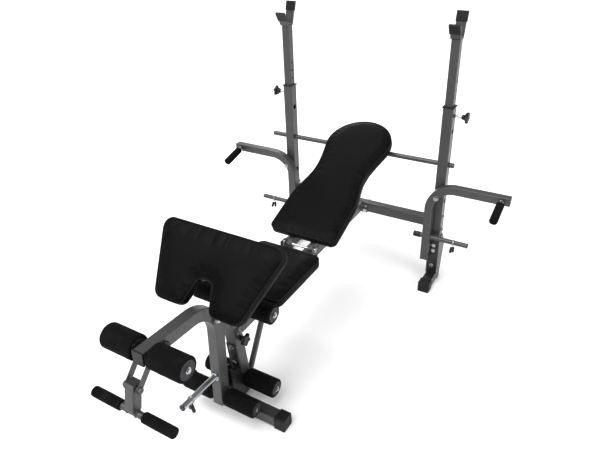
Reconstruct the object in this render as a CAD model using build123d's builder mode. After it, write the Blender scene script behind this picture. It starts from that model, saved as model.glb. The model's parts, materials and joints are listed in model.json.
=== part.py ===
from build123d import *
import math
import os
from collections import namedtuple

# Weight bench with a bar rack, butterfly arms, an arm curl pad and a leg developer.
# Millimetres, +Z up. X runs across the bench, +Y towards the rack. The origin is on the floor at
# the middle of the footprint, and places along the bench are given as distances ahead of the rack.

# ---- driving dimensions: tubes ----
frame_tube = 50.0  # side of the square frame tube
frame_wall = 2.0
tube_corner = 3.0  # outside corner radius of the square tubes
sole = 5.0  # height of the frame tubes above the floor, on their rubber shoes
shoe_wall = 5.0
shoe_length = 46.0
shoe_corner = 7.0
shoe_edge = 3.0
bolt_clear = 0.25  # radial clearance of a bolt in its hole
running = 0.05  # radial clearance of a turning pin
roller_clear = 0.08  # radial clearance of a roller's sleeve on its axle
sliding = 0.3  # gap at each side of a sliding fit
rest_gap = 0.3  # gap between pieces that rest on one another but move apart

# ---- driving dimensions: rack ----
rack_half = 434.0  # upright axis to the centre plane
upright_low = 62.0
upright_top = 972.0
inner_tube = 40.0
inner_wall = 2.0
inner_low = 865.0
inner_top = 1275.0
knob_height = 933.0
hole_pitch = 40.0
holes_above_knob = 4
holes_below_knob = 1
stud_radius = 5.0
stud_gap = 0.5  # a loosened stud's tip, clear of the inner tube
knob_stand_off = 52.0
fork_width = 46.0
fork_plate = 5.0
fork_front_tip = (-58.0, 1338.0)
fork_rear_tip = (47.0, 1380.0)
fork_sleeve_length = 40.0
foot_ahead = 142.0
foot_behind = 42.0
foot_bracket_top = 284.0
crossbeam_height = 360.0
incline_bar_radius = 12.5
incline_bar_height = 686.0
incline_bar_holes = (490.0, 686.0, 857.0)
incline_bar_left = -551.0
incline_bar_right = 486.0

# ---- driving dimensions: bench frame ----
beam_height = 370.0
base_ahead = 1229.0
base_half = 266.0
post_lean = 5.0  # the front post leans forward, degrees
post_ahead = 1173.0  # of the post's axis, at the height post_mid_z
post_mid_z = 275.0
post_bottom_z = 20.0
post_top_z = 560.0
brace_side = 20.0
stub_top = 219.0
stub_low = 25.0
brace_low_ahead = 1124.0
brace_low_z = 47.0
brace_high_ahead = 949.0

# ---- driving dimensions: pads ----
seat_half = 158.0
seat_front_ahead = 1087.0
seat_rear_ahead = 738.0
seat_top = 498.0
seat_thick = 48.0
back_length = 806.0
back_half = 170.0
back_waist = 138.0
back_head_radius = 170.0
back_thick = 44.0
rail_wide = 25.0
rail_deep = 22.0
rail_offset = 55.0
back_pin_ahead = 659.0
back_pin_z = 458.0
back_pin_radius = 6.0
pin_to_pad_edge = 25.0
curl_pad_angle = 46.3
curl_pad_ahead = 1169.0  # of the top edge of its face
curl_pad_top_z = 811.0
curl_pad_length = 294.0
curl_pad_top_half = 277.0
curl_pad_low_half = 187.0
curl_pad_thick = 46.0
curl_knob_z = 334.0
curl_knob_stand_off = 24.0
curl_post_low = 290.0
notch_mouth_half = 62.0
notch_half = 29.0
notch_depth = 112.0

# ---- driving dimensions: butterfly arms ----
arm_tube = 40.0
arm_wall = 1.5
arm_gap = 9.5  # spacer between the upright and the arm
arm_leg_x = 400.0
arm_leg_low = 162.0
arm_reach_z = 587.0
arm_reach_end = 776.0
arm_bend_radius = 124.0
arm_pivot_z = 530.0
pivot_radius = 6.0
peg_radius = 12.5
peg_wall = 2.0
arm_peg_z = 294.0
arm_peg_inner = 334.0
arm_peg_outer = 612.0
arm_clip_x = 541.0
handle_x = 742.0
handle_drop = 14.0  # the hand grips point forward and this many degrees down
handle_length = 142.0
handle_rod_radius = 10.5
handle_grip_radius = 19.5
handle_neck = 22.0

# ---- driving dimensions: leg developer ----
leg_tilt = 4.0  # the bent arm rests tipped back against its stop, degrees
leg_corner_ahead = 1265.4  # where the axes of its two limbs cross
leg_corner_z = 571.0
leg_wide = 45.0
leg_deep = 50.0
leg_wall = 2.0
leg_bend_radius = 130.0
leg_front_reach = 360.0
leg_down_reach = 482.0
leg_pivot_angle = 30.0  # place of the pivot round the bend, from the lower limb
front_axle_reach = 328.0
low_axle_drop = 450.0
leg_peg_drop = 342.0
leg_peg_reach = 212.0
leg_clip_reach = 165.0
axle_radius = 8.0
washer_radius = 11.0
washer_thick = 2.0
axle_nut_radius = 7.0
axle_nut_height = 5.0
front_roller_radius = 45.0
low_roller_radius = 37.0
knee_roller_radius = 40.0
foot_roller_radius = 40.0
front_roller_end = 168.0
low_roller_end = 172.0
knee_roller_end = 182.0
foot_roller_end = 172.0
knee_axle_ahead = 1150.0
knee_axle_z = 487.0
foot_axle_z = 104.0
roller_gap = 34.0  # inner end of each roller from the centre plane
roller_end_gap = 1.0  # from each roller's outer end to its washer

# ---- driving dimensions: curl bar ----
curl_tube = 38.0
curl_pivot_ahead = 1672.0
curl_pivot_z = 512.0
curl_bar_ahead = 1694.0
curl_bar_z = 425.0
curl_tube_above = 18.0  # square tube above the pivot
curl_bar_half = 172.0
curl_bar_radius = 12.5
curl_grip_radius = 19.0
curl_grip_inner = 48.0
link_plate = 4.0
link_wide = 24.0
link_bulge = 24.0  # sag of the links' curve below the line of their pivots
link_stop_radius = 5.0
link_stop_wide = 18.0
plate = 4.0  # brackets, cheeks and end plates

# ---- derived places ----
half = frame_tube / 2
x_axis = (1, 0, 0)
y_axis = (0, 1, 0)
z_axis = (0, 0, 1)
lean = math.radians(post_lean)
post_up = (0, -math.sin(lean), math.cos(lean))
tilt = math.radians(leg_tilt)
leg_forward = (0, -math.cos(tilt), math.sin(tilt))
leg_up = (0, math.sin(tilt), math.cos(tilt))
curl_slope = math.radians(curl_pad_angle)
curl_rise = (0, math.cos(curl_slope), math.sin(curl_slope))
curl_normal = (0, -math.sin(curl_slope), math.cos(curl_slope))

# The backrest lies on the incline bar: its slope follows from the hinge pin and the bar.
pin_to_bar = math.hypot(back_pin_ahead, incline_bar_height - back_pin_z)
bar_offset = rail_deep / 2 + rest_gap + incline_bar_radius
back_slope = math.atan2(incline_bar_height - back_pin_z, back_pin_ahead) + math.asin(bar_offset / pin_to_bar)
back_along = (0, math.cos(back_slope), math.sin(back_slope))
back_normal = (0, -math.sin(back_slope), math.cos(back_slope))

# The footprint runs from the curl bar's grips to the top end of the backrest.
front_reach = curl_bar_ahead + curl_grip_radius
head_reach = (pin_to_pad_edge + back_length) * back_along[1] + rail_deep / 2 * back_normal[1]
rack_y = (front_reach - (head_reach - back_pin_ahead)) / 2
base_y = rack_y - base_ahead
post_mid_y = rack_y - post_ahead
seat_front = rack_y - seat_front_ahead
seat_rear = rack_y - seat_rear_ahead
back_pin_y = rack_y - back_pin_ahead
arm_y = rack_y - half - arm_gap - arm_tube / 2
knee_axle = (rack_y - knee_axle_ahead, knee_axle_z)
curl_pivot = (rack_y - curl_pivot_ahead, curl_pivot_z)
beam_top = beam_height + half
base_top = sole + frame_tube
seat_under = seat_top - seat_thick

Bolt = namedtuple("Bolt", "seat direction grip radius low_head", defaults=(False,))
sides = {"left": -1, "right": 1}


def post_point(height):
    """Point of the leaning post's axis at a height above the floor."""
    return (0, post_mid_y - math.tan(lean) * (height - post_mid_z), height)


def leg_point(forward, up, x=0.0):
    """Point of the leg developer, from the crossing of its limb axes."""
    return (
        x,
        rack_y - leg_corner_ahead + forward * leg_forward[1] + up * leg_up[1],
        leg_corner_z + forward * leg_forward[2] + up * leg_up[2],
    )


def back_point(along, depth, x=0.0):
    """Point of the backrest: along it from the hinge pin, and above the pin's line."""
    return (
        x,
        back_pin_y + along * back_along[1] + depth * back_normal[1],
        back_pin_z + along * back_along[2] + depth * back_normal[2],
    )


def curl_point(down, depth, x=0.0):
    """Point of the curl pad: down its face from the top edge, and below the face."""
    return (
        x,
        rack_y - curl_pad_ahead - down * curl_rise[1] - depth * curl_normal[1],
        curl_pad_top_z - down * curl_rise[2] - depth * curl_normal[2],
    )


def square_tube(start, direction, length, wide, deep, wall, across=x_axis):
    """Adds a straight square tube. wide is along across, deep at right angles to it."""
    with BuildSketch(Plane(origin=start, x_dir=across, z_dir=direction)) as section:
        RectangleRounded(wide, deep, tube_corner)
        Rectangle(wide - 2 * wall, deep - 2 * wall, mode=Mode.SUBTRACT)
    extrude(section.sketch, amount=length)


def block(start, direction, length, wide, deep, across=x_axis, mode=Mode.ADD):
    """Adds or cuts a plain bar of rectangular section."""
    with BuildSketch(Plane(origin=start, x_dir=across, z_dir=direction)) as section:
        Rectangle(wide, deep)
    extrude(section.sketch, amount=length, mode=mode)


def rod(start, direction, length, radius, bore=0.0, mode=Mode.ADD):
    """Adds or cuts a round bar, or a round tube when it has a bore."""
    with BuildSketch(Plane(origin=start, z_dir=direction)) as section:
        Circle(radius)
        if bore:
            Circle(bore, mode=Mode.SUBTRACT)
    extrude(section.sketch, amount=length, mode=mode)


def side_plate(points, x_low, x_high):
    """Adds a flat plate that stands in a YZ plane."""
    with BuildSketch(Plane(origin=(x_low, 0, 0), x_dir=y_axis, z_dir=x_axis)) as outline:
        Polygon(*points, align=None)
    extrude(outline.sketch, amount=x_high - x_low)


def shifted(point, direction, amount):
    """Point moved along a direction."""
    return tuple(p + amount * d for p, d in zip(point, direction))


def hex_bolt(bolt, nut=True):
    """Adds a bolt with its washer, and a nut on the far side. A low head is a plain domed disc."""
    head = bolt.radius * 1.9
    washer = 1.5
    rod(shifted(bolt.seat, bolt.direction, -washer), bolt.direction, washer, bolt.radius * 2.2)
    head_height = 2.0 if bolt.low_head else bolt.radius * 1.2
    far = bolt.grip if nut else bolt.grip + 1.0
    rod(shifted(bolt.seat, bolt.direction, -0.1), bolt.direction, far + 0.1, bolt.radius)
    with BuildSketch(
        Plane(origin=shifted(bolt.seat, bolt.direction, -washer), z_dir=bolt.direction)
    ) as hexagon:
        if bolt.low_head:
            Circle(bolt.radius * 1.8)
        else:
            RegularPolygon(head, 6)
    extrude(hexagon.sketch, amount=-head_height)
    if nut:
        end = shifted(bolt.seat, bolt.direction, bolt.grip)
        rod(end, bolt.direction, washer, bolt.radius * 2.2)
        with BuildSketch(Plane(origin=shifted(end, bolt.direction, washer), z_dir=bolt.direction)) as face:
            RegularPolygon(head, 6)
        extrude(face.sketch, amount=bolt.radius * 1.4)
        rod(shifted(end, bolt.direction, washer), bolt.direction, bolt.radius * 2.0, bolt.radius)


def bolt_holes(bolts):
    """Cuts the clearance holes of the bolts that pass through the piece."""
    for bolt in bolts:
        start = shifted(bolt.seat, bolt.direction, -1.0)
        rod(start, bolt.direction, bolt.grip + 2.0, bolt.radius + bolt_clear, mode=Mode.SUBTRACT)


def write(name, piece):
    """Labels a finished piece and writes its STEP."""
    piece.part.label = name
    export_step(piece.part, f"parts/{name}.step")


# ---- fasteners: each list is used both for the bolts and for their holes ----
def foot_bolts(side):
    """Bolts through the foot bracket and the upright, from the front."""
    heights = (foot_bracket_top - 52.0, foot_bracket_top - 84.0, base_top + 50.0)
    return [Bolt((side * rack_half, rack_y - half - plate, z), y_axis, frame_tube + plate, 5.0, True) for z in heights]


def crossbeam_bolts(side):
    """Bolts through the upright into the crossbeam's end plate."""
    grip = frame_tube + plate
    return [
        Bolt((side * (rack_half + half), rack_y, crossbeam_height + dz), (-side, 0, 0), grip, 5.0)
        for dz in (-half - 12.0, half + 12.0)
    ]


def junction_bolts():
    """Bolts through the beam's rear plate and the crossbeam."""
    return [
        Bolt((x, rack_y - half - plate, crossbeam_height + dz), y_axis, frame_tube + plate, 5.0)
        for x in (-36.0, 36.0)
        for dz in (-14.0, 14.0)
    ]


def post_side_screws():
    """Short screws that hold the beam's front cheeks to the post."""
    y, z = post_point(beam_height - 8.0)[1:]
    return [Bolt((s * (half + plate), y, z), (-s, 0, 0), plate + frame_wall, 5.0) for s in (-1, 1)]


def splice_screws():
    """Short screws through the cover plate on the post's front face."""
    screws = []
    for height in (205.0, 292.0):
        seat = shifted(post_point(height), (0, -math.cos(lean), -math.sin(lean)), half + plate)
        screws.append(Bolt(seat, (0, math.cos(lean), math.sin(lean)), plate + frame_wall, 5.0))
    return screws


def bracket_bolts():
    """Bolt through the base bracket's cheeks and the post."""
    y, z = post_point(44.0)[1:]
    return [Bolt((half + plate, y, z), (-1, 0, 0), frame_tube + 2 * plate, 5.0)]


# ---- rack ----
def rear_upright(side):
    with BuildPart() as upright:
        x = side * rack_half
        square_tube((x, rack_y, upright_low), z_axis, upright_top - upright_low, frame_tube, frame_tube, frame_wall)
        for height in incline_bar_holes:
            rod((x - half - 1, rack_y, height), x_axis, frame_tube + 2, incline_bar_radius + 0.5, mode=Mode.SUBTRACT)
        rod((x + side * half, rack_y, knob_height), (side, 0, 0), 6.0, 9.0)
        inside = (x + side * (half - 5), rack_y, knob_height)
        rod(inside, (side, 0, 0), 15.0, stud_radius + running, mode=Mode.SUBTRACT)
        pivot = Bolt((x, rack_y - half, arm_pivot_z), y_axis, frame_tube, pivot_radius)
        bolt_holes(foot_bolts(side) + crossbeam_bolts(side) + [pivot])
    return upright


def upright_collars():
    with BuildPart() as collars:
        for side in (-1, 1):
            top = (side * rack_half, rack_y, upright_top)
            block(top, z_axis, 6.0, frame_tube + 6, frame_tube + 6)
            block(top, (0, 0, -1), 32.0, frame_tube - 2 * frame_wall, frame_tube - 2 * frame_wall)
            opening = inner_tube + 2 * sliding
            low = (side * rack_half, rack_y, upright_top - 33.0)
            block(low, z_axis, 40.0, opening, opening, mode=Mode.SUBTRACT)
            stud = (side * (rack_half + 15), rack_y, knob_height)
            rod(stud, (side, 0, 0), 15.0, stud_radius + 1, mode=Mode.SUBTRACT)
    return collars


fork_front_root = (-inner_tube / 2 - 2.0, inner_top + fork_plate / 2)
fork_rear_root = (inner_tube / 2 - 2.0, inner_top + fork_plate / 2)


def inner_upright(side):
    x = side * rack_half
    with BuildPart() as inner:
        square_tube((x, rack_y, inner_low), z_axis, inner_top - inner_low, inner_tube, inner_tube, inner_wall)
        for step in range(-holes_below_knob, holes_above_knob + 1):
            height = knob_height + step * hole_pitch
            rod((x - inner_tube, rack_y, height), x_axis, 2 * inner_tube, stud_radius + 0.5, mode=Mode.SUBTRACT)
        with BuildSketch(Plane(origin=(x - fork_width / 2, rack_y, 0), x_dir=y_axis, z_dir=x_axis)) as fork:
            with BuildLine():
                FilletPolyline(fork_front_tip, fork_front_root, fork_rear_root, fork_rear_tip, radius=8.0)
            trace(line_width=fork_plate)
        extrude(fork.sketch, amount=fork_width)
    return inner


def fork_sleeves(side):
    x = side * rack_half
    with BuildPart() as sleeves:
        for tip, root in ((fork_front_tip, fork_front_root), (fork_rear_tip, fork_rear_root)):
            run = math.hypot(root[0] - tip[0], root[1] - tip[1])
            down = (0, (root[0] - tip[0]) / run, (root[1] - tip[1]) / run)
            end = (x, rack_y + tip[0], tip[1])
            top = shifted(end, down, -4.0)
            block(top, down, fork_sleeve_length + 4.0, fork_width + 5.0, fork_plate + 6.0)
            pocket = shifted(end, down, -0.2)
            width = fork_width + 0.2
            block(pocket, down, fork_sleeve_length + 1.0, width, fork_plate + 0.2, mode=Mode.SUBTRACT)
    return sleeves


def star_knob(centre, outward):
    """Five-lobed plastic hand knob with its hub."""
    with BuildPart() as knob:
        disc = Plane(origin=centre, z_dir=outward)
        with BuildSketch(disc) as star:
            Circle(17.0)
            with PolarLocations(19.0, 5):
                Circle(9.0)
        extrude(star.sketch, amount=16.0)
        rod(shifted(centre, outward, -16.0), outward, 16.0, 12.0)
        rod(shifted(centre, outward, -16.0), outward, 24.0, stud_radius, mode=Mode.SUBTRACT)
    return knob


def knob_stud(centre, outward, reach):
    """Threaded stud, from inside the knob to the tip that presses on the inner tube."""
    with BuildPart() as stud:
        rod(shifted(centre, outward, 8.0), shifted((0, 0, 0), outward, -1.0), 8.0 + reach, stud_radius)
    return stud


def incline_bar():
    with BuildPart() as bar:
        length = incline_bar_right - incline_bar_left
        rod((incline_bar_left, rack_y, incline_bar_height), x_axis, length, incline_bar_radius)
        chamfer(bar.edges().filter_by(GeomType.CIRCLE), 1.5)
    return bar


def rear_foot(side):
    x = side * rack_half
    cheek = [
        (rack_y - half - plate, base_top),
        (rack_y - half - plate, foot_bracket_top),
        (rack_y + half, foot_bracket_top),
        (rack_y + half + 45.0, foot_bracket_top - 75.0),
        (rack_y + half + 10.0, base_top),
    ]
    with BuildPart() as foot:
        start = (x, rack_y - foot_ahead + shoe_wall, sole + half)
        length = foot_ahead - shoe_wall + foot_behind
        square_tube(start, y_axis, length, frame_tube, frame_tube, frame_wall)
        side_plate(cheek, x - half - plate, x - half)
        side_plate(cheek, x + half, x + half + plate)
        web = (x, rack_y - half - plate / 2, base_top)
        block(web, z_axis, foot_bracket_top - base_top, frame_tube + 2 * plate, plate)
        seat_height = upright_low - base_top
        seat = (x, rack_y - half, base_top + seat_height / 2)
        block(seat, y_axis, frame_tube, frame_tube, seat_height)
        bolt_holes(foot_bolts(side))
    return foot


def shoe(end, inward, across):
    """Adds the rounded block of a rubber shoe, from its outer end."""
    outside = frame_tube + 2 * shoe_wall
    with BuildPart() as rounded:
        with BuildSketch(Plane(origin=end, x_dir=across, z_dir=inward)):
            RectangleRounded(outside, outside, shoe_corner)
        extrude(amount=shoe_length)
        face = rounded.faces().sort_by(lambda face: (face.center() - Vector(*end)).length)[0]
        fillet(face.edges(), shoe_edge)
    add(rounded.part)


def rear_foot_shoes():
    outside = frame_tube + 2 * shoe_wall
    with BuildPart() as shoes:
        for side in (-1, 1):
            x = side * rack_half
            shoe((x, rack_y - foot_ahead, outside / 2), y_axis, x_axis)
            pocket = (x, rack_y - foot_ahead + shoe_wall, sole + half)
            block(pocket, y_axis, shoe_length, frame_tube, frame_tube, mode=Mode.SUBTRACT)
            rear = rack_y + foot_behind
            block((x, rear - 30.0, sole / 2), y_axis, 34.0, frame_tube, sole)
            block((x, rear, sole + half), y_axis, 4.0, frame_tube, frame_tube)
            inner = frame_tube - 2 * frame_wall
            block((x, rear, sole + half), (0, -1, 0), 12.0, inner, inner)
    return shoes


def rear_crossbeam():
    reach = rack_half - half
    with BuildPart() as beam:
        start = (-reach, rack_y, crossbeam_height)
        square_tube(start, x_axis, 2 * reach, frame_tube, frame_tube, frame_wall, across=y_axis)
        for side in (-1, 1):
            end = (side * reach, rack_y, crossbeam_height)
            block(end, (-side, 0, 0), plate, frame_tube, frame_tube + 50.0, across=y_axis)
        bolt_holes(crossbeam_bolts(-1) + crossbeam_bolts(1) + junction_bolts())
    return beam


# ---- bench frame ----
def main_beam():
    rear = rack_y - half - plate
    front_y = post_point(beam_height)[1] + half
    post_screws = post_side_screws()
    cheek_front = post_screws[0].seat[1] - 12.0
    cheek = [
        (cheek_front, beam_height - half),
        (cheek_front, beam_height + 14.0),
        (front_y + 45.0, beam_height + half),
        (front_y + 90.0, beam_height + half),
        (front_y + 90.0, beam_height - half),
    ]
    with BuildPart() as beam:
        start = (0, rear, beam_height)
        square_tube(start, (0, -1, 0), rear - front_y - 6.0, frame_tube, frame_tube, frame_wall)
        block((0, rear + plate, crossbeam_height), (0, -1, 0), plate, 100.0, 58.0)
        for side in (-1, 1):
            low = half if side > 0 else -half - plate
            side_plate(cheek, low, low + plate)
        # hinge cross tube and its ears
        cross = (-rail_offset - 28.0, back_pin_y, beam_top + 15.0)
        square_tube(cross, x_axis, 2 * rail_offset + 56.0, 30.0, 30.0, frame_wall, across=y_axis)
        ear = [
            (back_pin_y - 20.0, beam_top),
            (back_pin_y - 20.0, back_pin_z + 4.0),
            (back_pin_y - 8.0, back_pin_z + 14.0),
            (back_pin_y + 8.0, back_pin_z + 14.0),
            (back_pin_y + 20.0, back_pin_z - 4.0),
            (back_pin_y + 20.0, beam_top),
        ]
        for side in (-1, 1):
            inner = rail_offset + rail_wide / 2 + 5.0
            low = inner if side > 0 else -inner - 5.0
            side_plate(ear, low, low + 5.0)
        pin_start = (-100.0, back_pin_y, back_pin_z)
        rod(pin_start, x_axis, 200.0, back_pin_radius + bolt_clear, mode=Mode.SUBTRACT)
        bolt_holes(junction_bolts() + post_screws)
    return beam


def front_post():
    bottom = post_point(post_bottom_z)
    length = (post_top_z - post_bottom_z) / math.cos(lean)
    pivot = leg_pivot()
    with BuildPart() as post:
        square_tube(bottom, post_up, length, frame_tube, frame_tube, frame_wall)
        # clevis cheeks for the leg developer's pivot, one on each side of the post
        cheek = [
            (post_point(pivot[2] - 42.0)[1] + 12.0, pivot[2] - 42.0),
            (post_point(pivot[2] - 42.0)[1] - half, pivot[2] - 42.0),
            (pivot[1] - 12.0, pivot[2] - 20.0),
            (pivot[1] - 20.0, pivot[2] - 8.0),
            (pivot[1] - 20.0, pivot[2] + 8.0),
            (pivot[1] - 10.0, pivot[2] + 18.0),
            (post_point(pivot[2] + 22.0)[1] + 12.0, pivot[2] + 22.0),
        ]
        for side in (-1, 1):
            low = half if side > 0 else -half - plate
            side_plate(cheek, low, low + plate)
        # lug behind the post that carries the knee rollers' axle
        lug = [
            (post_point(knee_axle[1] - 22.0)[1] + half - 1.0, knee_axle[1] - 22.0),
            (post_point(knee_axle[1] + 22.0)[1] + half - 1.0, knee_axle[1] + 22.0),
            (knee_axle[0] + 14.0, knee_axle[1] + 14.0),
            (knee_axle[0] + 14.0, knee_axle[1] - 14.0),
        ]
        side_plate(lug, -half, half)
        knob_y, knob_z = post_point(curl_knob_z)[1:]
        rod((half, knob_y, knob_z), x_axis, 6.0, 9.0)
        rod((half - 5, knob_y, knob_z), x_axis, 15.0, stud_radius + running, mode=Mode.SUBTRACT)
        rod((-60, *knee_axle), x_axis, 120.0, axle_radius + bolt_clear, mode=Mode.SUBTRACT)
        rod((-60, *post_point(foot_axle_z)[1:]), x_axis, 120.0, axle_radius + bolt_clear, mode=Mode.SUBTRACT)
        rod((-60, *pivot[1:]), x_axis, 120.0, pivot_radius + bolt_clear, mode=Mode.SUBTRACT)
        inner = frame_tube - 2 * frame_wall
        block(bottom, post_up, length, inner, inner, mode=Mode.SUBTRACT)
        bolt_holes(post_side_screws() + splice_screws() + bracket_bolts())
    return post


def front_post_bracket():
    front = base_y - half
    rear_low = post_point(base_top)[1] + half
    cheek = [
        (front, base_top),
        (front, stub_top),
        (base_y + half + 4.0, stub_top - 36.0),
        (base_y + half + 4.0, 150.0),
        (post_point(118.0)[1] + half, 118.0),
        (rear_low, stub_low),
        (base_y + half, stub_low),
        (base_y + half, base_top),
    ]
    with BuildPart() as bracket:
        for side in (-1, 1):
            low = half if side > 0 else -half - plate
            side_plate(cheek, low, low + plate)
        web = (0, front + plate / 2, base_top)
        block(web, z_axis, stub_top - base_top, frame_tube + 2 * plate, plate)
        # cover plate on the post's front face
        screws = splice_screws()
        low_end = post_point(188.0)
        seat = shifted(low_end, (0, -math.cos(lean), -math.sin(lean)), half + plate / 2)
        block(seat, post_up, 122.0, frame_tube - 4.0, plate)
        y, z = post_point(foot_axle_z)[1:]
        rod((-60, y, z), x_axis, 120.0, axle_radius + bolt_clear, mode=Mode.SUBTRACT)
        bolt_holes(screws + bracket_bolts())
    return bracket


def front_base_tube():
    with BuildPart() as base:
        start = (-base_half + shoe_wall, base_y, sole + half)
        length = 2 * (base_half - shoe_wall)
        square_tube(start, x_axis, length, frame_tube, frame_tube, frame_wall, across=y_axis)
    return base


def front_base_shoes():
    outside = frame_tube + 2 * shoe_wall
    with BuildPart() as shoes:
        for side in (-1, 1):
            inward = (-side, 0, 0)
            shoe((side * base_half, base_y, outside / 2), inward, y_axis)
            pocket = (side * (base_half - shoe_wall), base_y, sole + half)
            block(pocket, inward, shoe_length, frame_tube, frame_tube, across=y_axis, mode=Mode.SUBTRACT)
    return shoes


def diagonal_brace():
    rise = beam_height - half - brace_low_z
    advance = brace_low_ahead - brace_high_ahead
    run = math.hypot(rise, advance)
    along = (0, advance / run, rise / run)
    low = shifted((0, rack_y - brace_low_ahead, brace_low_z), along, -brace_side)
    rear_face = shifted(post_point(brace_low_z), (0, math.cos(lean), math.sin(lean)), half)
    with BuildPart() as brace:
        square_tube(low, along, run + 2 * brace_side, brace_side, brace_side, 1.5)
        split(bisect_by=Plane(origin=(0, 0, beam_height - half), z_dir=z_axis), keep=Keep.BOTTOM)
        back = Plane(origin=rear_face, z_dir=(0, math.cos(lean), math.sin(lean)))
        split(bisect_by=back, keep=Keep.TOP)
        top = (0, rack_y - brace_high_ahead, beam_height - half)
        block(top, (0, 0, -1), 3.0, 40.0, 70.0)
    return brace


def seat_frame():
    with BuildPart() as frame:
        riser_height = seat_under - 25.0 - beam_top
        start = (0, seat_front + 40.0, beam_top + riser_height / 2)
        length = seat_rear - seat_front - 70.0
        square_tube(start, y_axis, length, frame_tube, riser_height, frame_wall)
        for y in (seat_front + 75.0, seat_rear - 75.0):
            bar = (-seat_half + 32.0, y, seat_under - 12.5)
            square_tube(bar, x_axis, 2 * (seat_half - 32.0), 25.0, 25.0, 1.5, across=y_axis)
    return frame


def seat_pad():
    with BuildPart() as pad:
        with BuildSketch(Plane.XY.offset(seat_under)):
            with Locations((0, (seat_front + seat_rear) / 2)):
                RectangleRounded(2 * seat_half, seat_rear - seat_front, 32.0)
        extrude(amount=seat_thick)
        fillet(pad.faces().sort_by(Axis.Z)[-1].edges(), 9.0)
    return pad


def axle(y, z, roller_end):
    """Adds a roller axle with a washer and a round head at each end."""
    reach = roller_end + roller_end_gap
    rod((-reach, y, z), x_axis, 2 * reach, axle_radius)
    for side in (-1, 1):
        rod((side * reach, y, z), (side, 0, 0), washer_thick, washer_radius)
        rod((side * (reach + washer_thick), y, z), (side, 0, 0), axle_nut_height, axle_nut_radius)


def fixed_axle(y, z, roller_end):
    """Roller axle that the frame carries."""
    with BuildPart() as piece:
        axle(y, z, roller_end)
    return piece


def roller(y, z, radius, end, side):
    """Foam roller on its sleeve, from near the centre plane to the axle's end."""
    with BuildPart() as foam:
        bore = axle_radius + roller_clear
        rod((side * roller_gap, y, z), (side, 0, 0), end - roller_gap, radius, bore=bore)
        fillet(foam.edges().filter_by(GeomType.CIRCLE).sort_by(SortBy.RADIUS)[-2:], 5.0)
    return foam


def stop_bumper():
    front = base_y - half
    z = 140.0
    arm_back = leg_point(0, -(leg_corner_z - z) / math.cos(tilt))[1] + leg_deep / 2 / math.cos(tilt)
    radius = 14.0
    length = front - arm_back - rest_gap - radius * math.tan(tilt)
    with BuildPart() as bumper:
        rod((0, front, z), (0, -1, 0), length, radius)
    return bumper


def frame_bolts():
    with BuildPart() as bolts:
        for side in (-1, 1):
            for bolt in foot_bolts(side) + crossbeam_bolts(side):
                hex_bolt(bolt)
        for bolt in junction_bolts() + bracket_bolts():
            hex_bolt(bolt)
        for bolt in post_side_screws() + splice_screws():
            hex_bolt(bolt, nut=False)
    return bolts


def pivot_pins():
    """Butterfly arm pivots, leg developer pivot and backrest hinge pin."""
    pivot = leg_pivot()
    grip = arm_tube + arm_gap + frame_tube
    ear = rail_offset + rail_wide / 2 + 10.0
    with BuildPart() as pins:
        for side in (-1, 1):
            seat = (side * rack_half, arm_y - arm_tube / 2, arm_pivot_z)
            hex_bolt(Bolt(seat, y_axis, grip, pivot_radius))
        hex_bolt(Bolt((half + plate, *pivot[1:]), (-1, 0, 0), frame_tube + 2 * plate, pivot_radius))
        rod((-ear - 3, back_pin_y, back_pin_z), x_axis, 2 * ear + 6, back_pin_radius)
        for side in (-1, 1):
            rod((side * ear, back_pin_y, back_pin_z), (side, 0, 0), 5.0, 11.0)
    return pins


# ---- backrest ----
def backrest_frame():
    length = pin_to_bar + 58.0
    with BuildPart() as frame:
        for side in (-1, 1):
            x = side * rail_offset
            square_tube(back_point(-11.0, 0, x), back_along, length, rail_wide, rail_deep, 1.5)
        for along in (150.0, 560.0):
            block(back_point(along, 0), back_along, 40.0, 2 * rail_offset - rail_wide, 16.0)
        for side in (-1, 1):
            x = side * rail_offset - rail_wide / 2
            rod((x, back_pin_y, back_pin_z), x_axis, rail_wide, back_pin_radius + 4.0)
        start = (-rail_offset - rail_wide, back_pin_y, back_pin_z)
        length = 2 * (rail_offset + rail_wide)
        rod(start, x_axis, length, back_pin_radius + running, mode=Mode.SUBTRACT)
    return frame


def backrest_pad():
    plane = Plane(origin=back_point(pin_to_pad_edge, rail_deep / 2), x_dir=x_axis, z_dir=back_normal)
    head = back_length - back_head_radius
    neck_drop = 36.0
    neck_half = math.sqrt(back_head_radius**2 - neck_drop**2)
    corner = 30.0
    waist_at = 400.0
    with BuildPart() as pad:
        with BuildSketch(plane) as outline:
            with BuildLine():
                for side in (-1, 1):
                    Line((0, 0), (side * (back_half - corner), 0))
                    RadiusArc((side * (back_half - corner), 0), (side * back_half, corner), -side * corner)
                    Line((side * back_half, corner), (side * back_half, 190.0))
                    Spline(
                        (side * back_half, 190.0),
                        (side * back_waist, waist_at),
                        (side * neck_half, head - neck_drop),
                        tangents=((0, 1), (side * neck_drop, neck_half)),
                    )
                ThreePointArc((-neck_half, head - neck_drop), (0, back_length), (neck_half, head - neck_drop))
            make_face()
        extrude(amount=back_thick)
    return pad


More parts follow.
